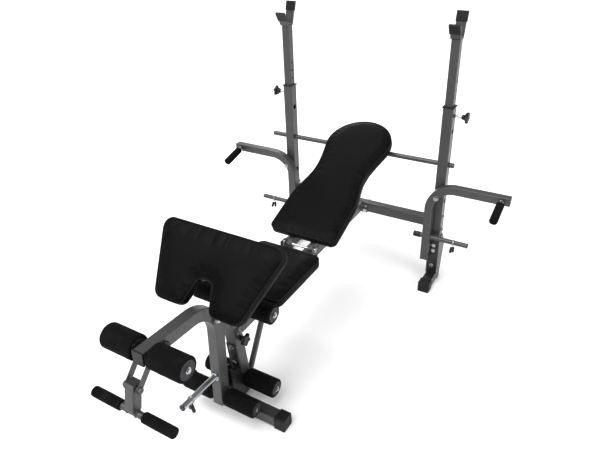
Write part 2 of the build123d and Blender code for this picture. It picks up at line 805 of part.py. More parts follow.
# ---- butterfly arms ----
def butterfly_arm(side):
    """Bent arm with its weight peg, plug seats and pivot boss."""
    low = (side * arm_leg_x, arm_y, arm_leg_low)
    bend = (side * arm_leg_x, arm_y, arm_reach_z)
    end = (side * arm_reach_end, arm_y, arm_reach_z)
    inner = arm_tube - 2 * arm_wall
    with BuildPart() as arm:
        with BuildLine() as path:
            FilletPolyline(low, bend, end, radius=arm_bend_radius)
        with BuildSketch(Plane(origin=low, x_dir=x_axis, z_dir=z_axis)):
            RectangleRounded(arm_tube, arm_tube, tube_corner)
        sweep(path=path.line)
        with BuildSketch(Plane(origin=low, x_dir=x_axis, z_dir=z_axis)):
            Rectangle(inner, inner)
        sweep(path=path.line, mode=Mode.SUBTRACT)
        peg_start = (side * arm_peg_inner, arm_y, arm_peg_z)
        rod(peg_start, (side, 0, 0), arm_peg_outer - arm_peg_inner, peg_radius)
        rod(peg_start, (side, 0, 0), arm_peg_outer - arm_peg_inner, peg_radius - peg_wall, mode=Mode.SUBTRACT)
        boss = (side * rack_half, arm_y - arm_tube / 2, arm_pivot_z)
        rod(boss, y_axis, arm_tube + arm_gap - 0.2, pivot_radius + 5.0)
        rod(shifted(boss, y_axis, -5.0), y_axis, arm_tube + 20.0, pivot_radius + running, mode=Mode.SUBTRACT)
        socket = (side * handle_x, arm_y - arm_tube / 2 + 3.0, arm_reach_z)
        rod(socket, handle_direction(), 12.0, handle_rod_radius + 0.1, mode=Mode.SUBTRACT)
        back = shifted(socket, handle_direction(), -1.0)
        rod(back, handle_direction(), 5.0, handle_rod_radius + 0.1, mode=Mode.SUBTRACT)
    return arm


def handle_direction():
    drop = math.radians(handle_drop)
    return (0, -math.cos(drop), -math.sin(drop))


def handle_start(side):
    return (side * handle_x, arm_y - arm_tube / 2, arm_reach_z)


def butterfly_handle(side):
    """Plated rod that carries the hand grip, with the collar that seats on the arm."""
    with BuildPart() as handle:
        start = shifted(handle_start(side), handle_direction(), 3.2)
        rod(start, handle_direction(), handle_length - 3.2, handle_rod_radius)
        rod(start, handle_direction(), 6.0, handle_rod_radius + 3.0)
        face = (side * handle_x, arm_y - arm_tube / 2, arm_reach_z)
        block(face, y_axis, 20.0, 60.0, 60.0, mode=Mode.SUBTRACT)
    return handle


def butterfly_grip(side):
    with BuildPart() as grip:
        start = shifted(handle_start(side), handle_direction(), handle_neck)
        length = handle_length - handle_neck + 4.0
        rod(start, handle_direction(), length, handle_grip_radius)
        fillet(grip.edges().filter_by(GeomType.CIRCLE), 4.0)
        rod(start, handle_direction(), length - 4.0, handle_rod_radius, mode=Mode.SUBTRACT)
    return grip


def butterfly_plugs(side):
    """Plastic plugs: both ends of the arm, and the sleeve and plug of the weight peg."""
    inner = arm_tube - 2 * arm_wall
    with BuildPart() as plugs:
        low = (side * arm_leg_x, arm_y, arm_leg_low)
        end = (side * arm_reach_end, arm_y, arm_reach_z)
        block(low, (0, 0, -1), 3.0, arm_tube - 1, arm_tube - 1)
        block(low, z_axis, 14.0, inner, inner)
        block(end, (side, 0, 0), 3.0, arm_tube - 1, arm_tube - 1, across=y_axis)
        block(end, (-side, 0, 0), 14.0, inner, inner, across=y_axis)
        bore = peg_radius - peg_wall
        peg_in = (side * arm_peg_inner, arm_y, arm_peg_z)
        rod(peg_in, (-side, 0, 0), 3.0, peg_radius + 2.0)
        rod(peg_in, (side, 0, 0), 34.0, peg_radius + 2.0, bore=peg_radius)
        rod((side * arm_peg_outer, arm_y, arm_peg_z), (side, 0, 0), 3.0, peg_radius)
        rod((side * arm_peg_outer, arm_y, arm_peg_z), (-side, 0, 0), 14.0, bore)
    return plugs


def peg_clip(ring, along, down):
    """Spring clip: a ring on the peg and two levers with plastic ends."""
    across = tuple(Vector(*along).cross(Vector(*down)))
    with BuildPart() as clip:
        rod(shifted(ring, along, -4.0), along, 8.0, peg_radius + 4.5)
        for sign in (-1, 1):
            lever = tuple(d + sign * 0.35 * a for d, a in zip(down, across))
            start = shifted(ring, along, sign * 1.2)
            rod(shifted(start, lever, peg_radius + 2.0), lever, 20.0, 2.4)
            rod(shifted(start, lever, peg_radius + 14.0), lever, 26.0, 6.0)
        bore_start = shifted(ring, along, -20.0)
        rod(bore_start, along, 40.0, peg_radius + running, mode=Mode.SUBTRACT)
    return clip


# ---- leg developer ----
def leg_pivot():
    """Pivot of the leg developer, on the centre line of its bend."""
    turn = math.radians(leg_pivot_angle)
    forward = leg_bend_radius * (1 - math.cos(turn))
    up = -leg_bend_radius * (1 - math.sin(turn))
    return leg_point(forward, up)


def leg_developer_arm():
    inner_wide = leg_wide - 2 * leg_wall
    inner_deep = leg_deep - 2 * leg_wall
    low = leg_point(0, -leg_down_reach)
    front = leg_point(leg_front_reach, 0)
    pivot = leg_pivot()
    with BuildPart() as arm:
        with BuildLine() as path:
            FilletPolyline(low, leg_point(0, 0), front, radius=leg_bend_radius)
        with BuildSketch(Plane(origin=low, x_dir=x_axis, z_dir=leg_up)):
            RectangleRounded(leg_wide, leg_deep, tube_corner)
        sweep(path=path.line)
        with BuildSketch(Plane(origin=low, x_dir=x_axis, z_dir=leg_up)):
            Rectangle(inner_wide, inner_deep)
        sweep(path=path.line, mode=Mode.SUBTRACT)
        rod((-half + 0.3, *pivot[1:]), x_axis, frame_tube - 0.6, pivot_radius + 6.0)
        rod((-half, *pivot[1:]), x_axis, frame_tube, pivot_radius + running, mode=Mode.SUBTRACT)
        for place in (leg_point(front_axle_reach, 0), leg_point(0, -low_axle_drop)):
            rod((-60, *place[1:]), x_axis, 120.0, axle_radius + bolt_clear, mode=Mode.SUBTRACT)
        peg = leg_point(leg_deep / 2 - leg_wall - 2, -leg_peg_drop)
        rod(peg, leg_forward, leg_wall + 6, peg_radius + 0.1, mode=Mode.SUBTRACT)
    return arm


def leg_developer_rods():
    """Both roller axles and the plated weight peg of the leg developer."""
    with BuildPart() as rods:
        for place, end in (
            (leg_point(front_axle_reach, 0), front_roller_end),
            (leg_point(0, -low_axle_drop), low_roller_end),
        ):
            axle(*place[1:], end)
        peg = leg_point(leg_deep / 2 - leg_wall, -leg_peg_drop)
        length = leg_peg_reach - leg_deep / 2 + leg_wall
        rod(peg, leg_forward, length, peg_radius, bore=peg_radius - peg_wall)
        rod(shifted(peg, leg_forward, leg_wall), leg_forward, 4.0, peg_radius + 5.0, bore=peg_radius - 1)
    return rods


def leg_developer_plugs():
    """Plastic plugs of the bent arm and the weight peg, and the locking thumb screw."""
    inner_wide = leg_wide - 2 * leg_wall
    inner_deep = leg_deep - 2 * leg_wall
    down = shifted((0, 0, 0), leg_up, -1.0)
    back = shifted((0, 0, 0), leg_forward, -1.0)
    with BuildPart() as plugs:
        low = leg_point(0, -leg_down_reach)
        front = leg_point(leg_front_reach, 0)
        block(low, down, 4.0, leg_wide, leg_deep)
        block(low, leg_up, 14.0, inner_wide, inner_deep)
        block(front, leg_forward, 7.0, leg_wide, leg_deep)
        block(front, back, 14.0, inner_wide, inner_deep)
        peg = leg_point(leg_peg_reach, -leg_peg_drop)
        rod(peg, leg_forward, 4.0, peg_radius)
        rod(peg, back, 14.0, peg_radius - peg_wall)
        screw = leg_point(front_axle_reach - 58.0, 4.0, leg_wide / 2)
        rod(screw, x_axis, 5.0, 5.0)
        rod(shifted(screw, x_axis, 5.0), x_axis, 9.0, 9.0)
    return plugs


# ---- curl bar ----
def curl_links():
    """Two curved link plates, their stop pin and the curl bar's pivot bolt."""
    axle_place = leg_point(front_axle_reach, 0)[1:]
    run = math.hypot(curl_pivot[0] - axle_place[0], curl_pivot[1] - axle_place[1])
    ahead = ((curl_pivot[0] - axle_place[0]) / run, (curl_pivot[1] - axle_place[1]) / run)
    middle = (
        (axle_place[0] + curl_pivot[0]) / 2 - link_bulge * ahead[1],
        (axle_place[1] + curl_pivot[1]) / 2 - link_bulge * ahead[0],
    )
    stop = leg_point(front_axle_reach - 8.0, -leg_deep / 2 - link_stop_radius - rest_gap)[1:]
    outer = half + link_plate
    with BuildPart() as links:
        for side in (-1, 1):
            x_low = half if side > 0 else -outer
            with BuildSketch(Plane(origin=(x_low, 0, 0), x_dir=y_axis, z_dir=x_axis)) as outline:
                with BuildLine():
                    ThreePointArc(axle_place, middle, curl_pivot)
                trace(line_width=link_wide)
                with Locations(axle_place, curl_pivot):
                    Circle(link_wide / 2 + 2.0)
                with BuildLine():
                    Line(axle_place, stop)
                trace(line_width=link_stop_wide)
                with Locations(stop):
                    Circle(link_stop_wide / 2)
                with Locations(axle_place):
                    Circle(axle_radius + running, mode=Mode.SUBTRACT)
            extrude(outline.sketch, amount=link_plate)
        rod((-outer, *stop), x_axis, 2 * outer, link_stop_radius)
        rod((-outer - 2, *curl_pivot), x_axis, 2 * outer + 4, pivot_radius)
        for side in (-1, 1):
            with BuildSketch(Plane(origin=(side * outer, *curl_pivot), z_dir=(side, 0, 0))) as head:
                RegularPolygon(pivot_radius * 1.9, 6)
            extrude(head.sketch, amount=7.0)
    return links


def curl_bar():
    """Round bar with the square tube that carries it, from its pivot."""
    middle = (0, rack_y - curl_bar_ahead, curl_bar_z)
    rise = curl_pivot[1] - curl_bar_z
    run = math.hypot(curl_bar_ahead - curl_pivot_ahead, rise)
    upward = (0, (curl_bar_ahead - curl_pivot_ahead) / run, rise / run)
    start = shifted(middle, upward, curl_bar_radius - 4.0)
    length = run + curl_tube_above - curl_bar_radius + 4.0
    with BuildPart() as bar:
        square_tube(start, upward, length, curl_tube, curl_tube, frame_wall)
        rod((-half + rest_gap, *curl_pivot), x_axis, 2 * (half - rest_gap), pivot_radius + 5.0)
        rod((-curl_bar_half, *middle[1:]), x_axis, 2 * curl_bar_half, curl_bar_radius)
        rod((-half, *curl_pivot), x_axis, frame_tube, pivot_radius + running, mode=Mode.SUBTRACT)
        block(shifted(start, upward, length), upward, 3.0, curl_tube, curl_tube)
    return bar


def curl_grips():
    with BuildPart() as grips:
        for side in (-1, 1):
            start = (side * curl_grip_inner, rack_y - curl_bar_ahead, curl_bar_z)
            length = curl_bar_half - curl_grip_inner + 4.0
            rod(start, (side, 0, 0), length, curl_grip_radius)
            rod(start, (side, 0, 0), length - 4.0, curl_bar_radius, mode=Mode.SUBTRACT)
    return grips


# ---- arm curl pad ----
def curl_pad_post():
    """Sliding post of the arm curl pad, cut to the pad's slope, with its top plate."""
    under = curl_point(0, curl_pad_thick)
    bottom = post_point(curl_post_low)
    slope_plane = Plane(origin=under, x_dir=x_axis, z_dir=curl_normal)
    with BuildPart() as post:
        length = curl_pad_top_z - curl_post_low
        square_tube(bottom, post_up, length, inner_tube, inner_tube, inner_wall)
        split(bisect_by=slope_plane, keep=Keep.BOTTOM)
        middle = curl_point(curl_pad_length * 0.42, curl_pad_thick)
        back = shifted((0, 0, 0), curl_normal, -1.0)
        block(middle, back, plate, 240.0, 110.0)
        inner = inner_tube - 2 * inner_wall
        for height in (curl_knob_z, curl_knob_z + hole_pitch, curl_knob_z + 2 * hole_pitch):
            y, z = post_point(height)[1:]
            rod((-inner_tube, y, z), x_axis, 2 * inner_tube, stud_radius + 0.5, mode=Mode.SUBTRACT)
        gusset = [
            curl_point(curl_pad_length * 0.42 + 50.0, curl_pad_thick + plate)[1:],
            curl_point(curl_pad_length * 0.42 - 50.0, curl_pad_thick + plate)[1:],
            shifted(post_point(post_top_z + 60.0), (0, 1, 0), inner_tube / 2)[1:],
            shifted(post_point(post_top_z + 50.0), (0, 1, 0), -inner_tube / 2)[1:],
        ]
        for side in (-1, 1):
            low = inner_tube / 2 if side > 0 else -inner_tube / 2 - 3.0
            side_plate(gusset, low, low + 3.0)
        block(bottom, post_up, 380.0, inner, inner, mode=Mode.SUBTRACT)
    return post


def curl_pad():
    plane = Plane(origin=curl_point(0, curl_pad_thick), x_dir=x_axis, z_dir=curl_normal)
    low = -curl_pad_length
    inside = low + notch_depth
    outline_points = [
        (-curl_pad_top_half, 0),
        (curl_pad_top_half, 0),
        (curl_pad_low_half, low),
        (notch_mouth_half, low),
        (notch_half, inside),
        (-notch_half, inside),
        (-notch_mouth_half, low),
        (-curl_pad_low_half, low),
    ]
    corner_radii = [38.0, 38.0, 40.0, 30.0, 24.0, 24.0, 30.0, 40.0]
    with BuildPart() as pad:
        with BuildSketch(plane):
            Polygon(*outline_points, align=None)
        extrude(amount=curl_pad_thick)
        edges = pad.edges().filter_by(Axis(origin=(0, 0, 0), direction=curl_normal))
        for point, radius in zip(outline_points, corner_radii):
            corner = plane.from_local_coords((point[0], point[1], curl_pad_thick / 2))
            nearest = edges.sort_by(lambda edge: (edge.center() - Vector(corner)).length)[0]
            fillet(nearest, radius)
            edges = pad.edges().filter_by(Axis(origin=(0, 0, 0), direction=curl_normal))
    return pad


os.makedirs("parts", exist_ok=True)
low_axle = leg_point(0, -low_axle_drop)[1:]
front_axle = leg_point(front_axle_reach, 0)[1:]
foot_axle = post_point(foot_axle_z)[1:]
rollers = {
    "knee": (*knee_axle, knee_roller_radius, knee_roller_end),
    "foot": (*foot_axle, foot_roller_radius, foot_roller_end),
    "thigh": (*front_axle, front_roller_radius, front_roller_end),
    "ankle": (*low_axle, low_roller_radius, low_roller_end),
}

for word, side in sides.items():
    write(f"rear_upright_{word}", rear_upright(side))
    write(f"inner_upright_{word}", inner_upright(side))
    write(f"fork_sleeves_{word}", fork_sleeves(side))
    write(f"rear_foot_{word}", rear_foot(side))
    knob_place = (side * (rack_half + half + knob_stand_off), rack_y, knob_height)
    write(f"upright_knob_{word}", star_knob(knob_place, (side, 0, 0)))
    stud_reach = knob_stand_off + half - inner_tube / 2 - stud_gap
    write(f"upright_stud_{word}", knob_stud(knob_place, (side, 0, 0), stud_reach))
    write(f"butterfly_arm_{word}", butterfly_arm(side))
    write(f"butterfly_handle_{word}", butterfly_handle(side))
    write(f"butterfly_grip_{word}", butterfly_grip(side))
    write(f"butterfly_plugs_{word}", butterfly_plugs(side))
    clip_ring = (side * arm_clip_x, arm_y, arm_peg_z)
    write(f"peg_clip_{word}", peg_clip(clip_ring, x_axis, (0, -0.3, -0.95)))
    for kind, (y, z, radius, end) in rollers.items():
        write(f"{kind}_roller_{word}", roller(y, z, radius, end, side))

write("upright_collars", upright_collars())
write("rear_foot_shoes", rear_foot_shoes())
write("rear_crossbeam", rear_crossbeam())
write("incline_bar", incline_bar())
write("main_beam", main_beam())
write("front_post", front_post())
write("front_post_bracket", front_post_bracket())
write("front_base_tube", front_base_tube())
write("front_base_shoes", front_base_shoes())
write("diagonal_brace", diagonal_brace())
write("seat_frame", seat_frame())
write("seat_pad", seat_pad())
write("knee_roller_axle", fixed_axle(*knee_axle, knee_roller_end))
write("foot_roller_axle", fixed_axle(*foot_axle, foot_roller_end))
write("stop_bumper", stop_bumper())
write("frame_bolts", frame_bolts())
write("pivot_pins", pivot_pins())
write("backrest_frame", backrest_frame())
write("backrest_pad", backrest_pad())
write("leg_developer_arm", leg_developer_arm())
write("leg_developer_rods", leg_developer_rods())
write("leg_developer_plugs", leg_developer_plugs())
clip_ring = leg_point(leg_clip_reach, -leg_peg_drop)
write("leg_peg_clip", peg_clip(clip_ring, leg_forward, shifted((0, 0, 0), leg_up, -1.0)))
write("curl_links", curl_links())
write("curl_bar", curl_bar())
write("curl_grips", curl_grips())
write("curl_pad_post", curl_pad_post())
write("curl_pad", curl_pad())
knob_place = shifted(post_point(curl_knob_z), x_axis, half + curl_knob_stand_off)
write("curl_pad_knob", star_knob(knob_place, x_axis))
stud_reach = curl_knob_stand_off + half - inner_tube / 2 - stud_gap
write("curl_pad_stud", knob_stud(knob_place, x_axis, stud_reach))

# The joints' places and directions, for the record.
print("rack", rack_y, "arm pivots", arm_y, arm_pivot_z)
print("backrest pin", back_pin_y, back_pin_z, "slope", math.degrees(back_slope))
print("leg developer pivot", leg_pivot(), "axles", front_axle, low_axle)
print("foot axle", foot_axle, "knee axle", knee_axle, "curl pivot", curl_pivot)
print("post direction", post_up, "peg direction", leg_forward, "knob", knob_place)
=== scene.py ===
"""Studio scene of a weight bench with a bar rack, butterfly arms, arm curl pad and leg developer.

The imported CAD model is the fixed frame. This script gives every node its finish, and builds the
upholstery, foam, grips, knobs, clips and weld beads around it. Lengths are in metres.
"""
import json
import logging
import math
from dataclasses import dataclass, field
from enum import Enum

import bmesh
import bpy
import numpy as np
from mathutils import Matrix, Vector, noise


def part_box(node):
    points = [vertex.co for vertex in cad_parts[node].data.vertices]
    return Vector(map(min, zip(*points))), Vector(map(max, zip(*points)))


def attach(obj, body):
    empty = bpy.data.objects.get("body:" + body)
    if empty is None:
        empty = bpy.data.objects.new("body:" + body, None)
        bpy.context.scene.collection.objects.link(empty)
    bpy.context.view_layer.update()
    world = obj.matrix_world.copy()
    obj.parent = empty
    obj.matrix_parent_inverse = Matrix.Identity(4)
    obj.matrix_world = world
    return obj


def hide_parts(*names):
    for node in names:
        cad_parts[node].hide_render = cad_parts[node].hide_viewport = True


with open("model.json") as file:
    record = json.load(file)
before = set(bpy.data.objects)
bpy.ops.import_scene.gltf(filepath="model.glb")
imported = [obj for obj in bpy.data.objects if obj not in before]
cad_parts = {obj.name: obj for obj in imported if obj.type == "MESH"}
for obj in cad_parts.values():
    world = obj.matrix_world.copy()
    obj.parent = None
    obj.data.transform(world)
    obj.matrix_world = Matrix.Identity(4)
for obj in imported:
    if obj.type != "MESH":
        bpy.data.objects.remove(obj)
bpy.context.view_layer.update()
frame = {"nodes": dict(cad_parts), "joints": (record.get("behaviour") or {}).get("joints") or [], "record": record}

log = logging.getLogger("weight_bench")

MM = 0.001
X_AXIS = Vector((1.0, 0.0, 0.0))
Y_AXIS = Vector((0.0, 1.0, 0.0))
Z_AXIS = Vector((0.0, 0.0, 1.0))
SIDES = {"left": -1.0, "right": 1.0}


class Slot(Enum):
    """Material slots of the record."""

    ENAMEL = "grey_enamel"
    # The dark_enamel slot gets a darker copy of the frame's powder coat, which is painted shade: the brackets
    # carry the frame's own paint.
    DARK = "dark_enamel"
    VINYL = "black_vinyl"
    FOAM = "black_foam"
    RUBBER = "black_rubber"
    PLASTIC = "black_plastic"
    CHROME = "chrome_plate"
    ZINC = "zinc_plate"


# ---------------------------------------------------------------- finishes


class NodeSheet:
    """Lays out one material's nodes around a Principled shader."""

    def __init__(self, name: str) -> None:
        """Starts an empty material with its shader and output.

        Args:
            name: The material's name.
        """
        self.material = bpy.data.materials.new(name)
        self.material.use_nodes = True
        self.tree = self.material.node_tree
        self.tree.nodes.clear()
        self.output = self.add("ShaderNodeOutputMaterial")
        self.shader = self.add("ShaderNodeBsdfPrincipled")
        self.tree.links.new(self.shader.outputs["BSDF"], self.output.inputs["Surface"])
        self.place = self.add("ShaderNodeTexCoord").outputs["Object"]

    def add(self, kind: str, **settings: object) -> bpy.types.Node:
        """Adds a node and sets its properties.

        Args:
            kind: The node's type name.
            **settings: Property values of the node.

        Returns:
            The new node.
        """
        node = self.tree.nodes.new(kind)
        for key, value in settings.items():
            setattr(node, key, value)
        return node

    def noise(self, scale: float, detail: float = 2.0) -> bpy.types.NodeSocket:
        """Adds a noise texture in object space.

        Args:
            scale: Cells per metre.
            detail: Octaves of finer noise.

        Returns:
            The noise value's socket.
        """
        node = self.add("ShaderNodeTexNoise")
        node.inputs["Scale"].default_value = scale
        node.inputs["Detail"].default_value = detail
        self.tree.links.new(self.place, node.inputs["Vector"])
        return node.outputs["Fac"]

    def cells(self, scale: float, smooth: float = 0.6) -> bpy.types.NodeSocket:
        """Adds a smooth cell texture, for leather grain and foam pores.

        Args:
            scale: Cells per metre.
            smooth: Roundness of the cells, from 0 to 1.

        Returns:
            The socket of the distance to the cell's middle.
        """
        node = self.add("ShaderNodeTexVoronoi", feature="SMOOTH_F1")
        node.inputs["Scale"].default_value = scale
        node.inputs["Smoothness"].default_value = smooth
        self.tree.links.new(self.place, node.inputs["Vector"])
        return node.outputs["Distance"]

    def remap(
        self, source: bpy.types.NodeSocket, span: tuple[float, float], target: tuple[float, float]
    ) -> bpy.types.NodeSocket:
        """Maps one span of values onto another and clamps it.

        Args:
            source: The value to map.
            span: Lowest and highest value of the source.
            target: The values that they become.

        Returns:
            The mapped value's socket.
        """
        node = self.add("ShaderNodeMapRange")
        for name, value in zip(("From Min", "From Max", "To Min", "To Max"), (*span, *target)):
            node.inputs[name].default_value = value
        self.tree.links.new(source, node.inputs["Value"])
        return node.outputs["Result"]

    def blend_colors(
        self, factor: bpy.types.NodeSocket, first: object, second: tuple[float, float, float]
    ) -> bpy.types.NodeSocket:
        """Mixes two colours by a factor.

        Args:
            factor: Share of the second colour.
            first: A colour, or the socket of one.
            second: A colour.

        Returns:
            The mixed colour's socket.
        """
        node = self.add("ShaderNodeMix", data_type="RGBA")
        self.tree.links.new(factor, node.inputs["Factor"])
        if isinstance(first, tuple):
            node.inputs["A"].default_value = (*first, 1.0)
        else:
            self.tree.links.new(first, node.inputs["A"])
        node.inputs["B"].default_value = (*second, 1.0)
        return node.outputs["Result"]

    def product(self, first: bpy.types.NodeSocket, second: bpy.types.NodeSocket) -> bpy.types.NodeSocket:
        """Multiplies two values.

        Args:
            first: One value.
            second: The other value.

        Returns:
            The product's socket.
        """
        node = self.add("ShaderNodeMath", operation="MULTIPLY")
        self.tree.links.new(first, node.inputs[0])
        self.tree.links.new(second, node.inputs[1])
        return node.outputs["Value"]

    def rounded_normal(self, radius: float) -> bpy.types.NodeSocket:
        """Adds a normal that rounds sharp edges.

        Args:
            radius: The edges' radius in metres.

        Returns:
            The normal's socket.
        """
        node = self.add("ShaderNodeBevel", samples=4)
        node.inputs["Radius"].default_value = radius
        return node.outputs["Normal"]

    def edge_mask(self, rounded: bpy.types.NodeSocket) -> bpy.types.NodeSocket:
        """Finds the surface close to a sharp edge.

        Args:
            rounded: The rounded normal.

        Returns:
            The socket of a value that is 0 on a flat face and 1 at an edge.
        """
        plain = self.add("ShaderNodeNewGeometry").outputs["Normal"]
        dot = self.add("ShaderNodeVectorMath", operation="DOT_PRODUCT")
        self.tree.links.new(plain, dot.inputs[0])
        self.tree.links.new(rounded, dot.inputs[1])
        return self.remap(dot.outputs["Value"], (0.98, 0.80), (0.0, 1.0))

    def bump(
        self,
        height: bpy.types.NodeSocket,
        strength: float,
        depth: float,
        normal: bpy.types.NodeSocket | None = None,
    ) -> bpy.types.NodeSocket:
        """Adds relief.

        Args:
            height: The relief's height.
            strength: Share of the relief that shows, from 0 to 1.
            depth: The relief's full depth in metres.
            normal: A normal to add it to, if any.

        Returns:
            The new normal's socket.
        """
        node = self.add("ShaderNodeBump")
        node.inputs["Strength"].default_value = strength
        node.inputs["Distance"].default_value = depth
        self.tree.links.new(height, node.inputs["Height"])
        if normal is not None:
            self.tree.links.new(normal, node.inputs["Normal"])
        return node.outputs["Normal"]

    def connect(self, socket: bpy.types.NodeSocket, name: str) -> None:
        """Feeds one of the shader's sockets."""
        self.tree.links.new(socket, self.shader.inputs[name])

    def fix(self, name: str, value: object) -> None:
        """Sets one of the shader's own values."""
        self.shader.inputs[name].default_value = value


@dataclass(frozen=True)
class PowderCoat:
    """Satin gunmetal powder coat on steel tube, paler where it is thin over edges."""

    name: str = "gunmetal_powder_coat"
    color: tuple[float, float, float] = (0.038, 0.038, 0.040)
    cloud: tuple[float, float, float] = (0.050, 0.050, 0.052)
    edge: tuple[float, float, float] = (0.12, 0.12, 0.125)
    edge_radius: float = 1.2 * MM

    def build(self) -> bpy.types.Material:
        """Makes the material.

        Returns:
            The material.
        """
        sheet = NodeSheet(self.name)
        body = sheet.blend_colors(sheet.noise(9.0, 4.0), self.color, self.cloud)
        rounded = sheet.rounded_normal(self.edge_radius)
        patches = sheet.remap(sheet.noise(60.0), (0.35, 0.7), (0.15, 0.7))
        worn = sheet.product(sheet.edge_mask(rounded), patches)
        sheet.connect(sheet.blend_colors(worn, body, self.edge), "Base Color")
        sheet.connect(sheet.remap(sheet.noise(45.0, 3.0), (0.3, 0.7), (0.36, 0.50)), "Roughness")
        sheet.connect(sheet.bump(sheet.noise(650.0, 2.0), 0.25, 0.25 * MM, rounded), "Normal")
        sheet.fix("Metallic", 0.35)
        sheet.fix("Coat Weight", 0.15)
        sheet.fix("Coat Roughness", 0.25)
        return sheet.material


@dataclass(frozen=True)
class UpholsteryVinyl:
    """Black grained upholstery vinyl."""

    name: str = "black_upholstery_vinyl"
    color: tuple[float, float, float] = (0.0014, 0.0014, 0.0018)
    worn: tuple[float, float, float] = (0.0030, 0.0030, 0.0035)
    grain_scale: float = 620.0

    def build(self) -> bpy.types.Material:
        """Makes the material.

        Returns:
            The material.
        """
        sheet = NodeSheet(self.name)
        sheet.connect(sheet.blend_colors(sheet.noise(7.0, 3.0), self.color, self.worn), "Base Color")
        sheet.connect(sheet.remap(sheet.noise(18.0, 4.0), (0.3, 0.7), (0.40, 0.52)), "Roughness")
        creases = sheet.bump(sheet.noise(34.0, 2.0), 0.20, 1.2 * MM)
        grain = sheet.bump(sheet.cells(self.grain_scale), 0.40, 0.35 * MM, creases)
        sheet.connect(grain, "Normal")
        sheet.fix("Specular IOR Level", 0.045)
        return sheet.material


@dataclass(frozen=True)
class PipingVinyl:
    """Smoother vinyl of the piping along the seams."""

    name: str = "black_piping_vinyl"
    color: tuple[float, float, float] = (0.0035, 0.0035, 0.0040)
    worn: tuple[float, float, float] = (0.0060, 0.0060, 0.0068)

    def build(self) -> bpy.types.Material:
        """Makes the material.

        Returns:
            The material.
        """
        sheet = NodeSheet(self.name)
        sheet.connect(sheet.blend_colors(sheet.noise(30.0), self.color, self.worn), "Base Color")
        sheet.connect(sheet.bump(sheet.cells(900.0), 0.25, 0.15 * MM), "Normal")
        sheet.fix("Roughness", 0.45)
        sheet.fix("Specular IOR Level", 0.08)
        return sheet.material


@dataclass(frozen=True)
class ClosedCellFoam:
    """Black closed-cell foam with fine pores and faint scuffs."""

    name: str = "black_closed_cell_foam"
    color: tuple[float, float, float] = (0.0024, 0.0024, 0.0027)
    scuff: tuple[float, float, float] = (0.0060, 0.0060, 0.0064)

    def build(self) -> bpy.types.Material:
        """Makes the material.

        Returns:
            The material.
        """
        sheet = NodeSheet(self.name)
        scuffs = sheet.remap(sheet.noise(28.0, 5.0), (0.48, 0.72), (0.0, 1.0))
        sheet.connect(sheet.blend_colors(scuffs, self.color, self.scuff), "Base Color")
        skin = sheet.bump(sheet.noise(160.0, 3.0), 0.25, 0.5 * MM)
        sheet.connect(sheet.bump(sheet.cells(1500.0, 0.3), 0.55, 0.25 * MM, skin), "Normal")
        sheet.fix("Roughness", 0.85)
        sheet.fix("Specular IOR Level", 0.08)
        return sheet.material


@dataclass(frozen=True)
class MouldedRubber:
    """Black moulded rubber with a dusty bloom."""

    name: str = "black_moulded_rubber"
    color: tuple[float, float, float] = (0.004, 0.004, 0.004)
    bloom: tuple[float, float, float] = (0.010, 0.010, 0.0095)

    def build(self) -> bpy.types.Material:
        """Makes the material.

        Returns:
            The material.
        """
        sheet = NodeSheet(self.name)
        bloom = sheet.remap(sheet.noise(22.0, 5.0), (0.45, 0.75), (0.0, 1.0))
        sheet.connect(sheet.blend_colors(bloom, self.color, self.bloom), "Base Color")
        rounded = sheet.rounded_normal(1.6 * MM)
        sheet.connect(sheet.bump(sheet.noise(900.0, 2.0), 0.3, 0.2 * MM, rounded), "Normal")
        sheet.fix("Roughness", 0.60)
        sheet.fix("Specular IOR Level", 0.2)
        return sheet.material


@dataclass(frozen=True)
class MouldedPlastic:
    """Black injection-moulded plastic with a fine spark-eroded texture."""

    name: str = "black_moulded_plastic"
    color: tuple[float, float, float] = (0.005, 0.005, 0.0055)
    roughness: tuple[float, float] = (0.34, 0.44)
    cloud: tuple[float, float, float] = (0.009, 0.009, 0.0095)

    def build(self) -> bpy.types.Material:
        """Makes the material.

        Returns:
            The material.
        """
        sheet = NodeSheet(self.name)
        sheet.connect(sheet.blend_colors(sheet.noise(40.0), self.color, self.cloud), "Base Color")
        sheet.connect(sheet.remap(sheet.noise(70.0, 3.0), (0.3, 0.7), self.roughness), "Roughness")
        rounded = sheet.rounded_normal(0.8 * MM)
        sheet.connect(sheet.bump(sheet.noise(1400.0, 1.0), 0.25, 0.1 * MM, rounded), "Normal")
        sheet.fix("Specular IOR Level", 0.25)
        return sheet.material


@dataclass(frozen=True)
class PlatedSteel:
    """Plated steel: mirror chrome or duller zinc, with faint smears."""

    name: str
    color: tuple[float, float, float]
    roughness: tuple[float, float]
    bump: float = 0.05

    def build(self) -> bpy.types.Material:
        """Makes the material.

        Returns:
            The material.
        """
        sheet = NodeSheet(self.name)
        dark = tuple(0.82 * c for c in self.color)
        sheet.connect(sheet.blend_colors(sheet.noise(55.0, 3.0), self.color, dark), "Base Color")
        sheet.connect(sheet.remap(sheet.noise(90.0, 4.0), (0.3, 0.7), self.roughness), "Roughness")
        rounded = sheet.rounded_normal(0.6 * MM)
        sheet.connect(sheet.bump(sheet.noise(500.0, 2.0), self.bump, 0.1 * MM, rounded), "Normal")
        sheet.fix("Metallic", 1.0)
        return sheet.material


@dataclass(frozen=True)
class DustCloth:
    """Black non-woven cloth over the underside of the pads."""

    name: str = "black_dust_cloth"
    color: tuple[float, float, float] = (0.018, 0.018, 0.020)
    fibre: tuple[float, float, float] = (0.035, 0.035, 0.037)

    def build(self) -> bpy.types.Material:
        """Makes the material.

        Returns:
            The material.
        """
        sheet = NodeSheet(self.name)
        sheet.connect(sheet.blend_colors(sheet.noise(400.0, 4.0), self.color, self.fibre), "Base Color")
        sheet.connect(sheet.bump(sheet.cells(500.0, 0.2), 0.5, 0.3 * MM), "Normal")
        sheet.fix("Roughness", 0.95)
        return sheet.material


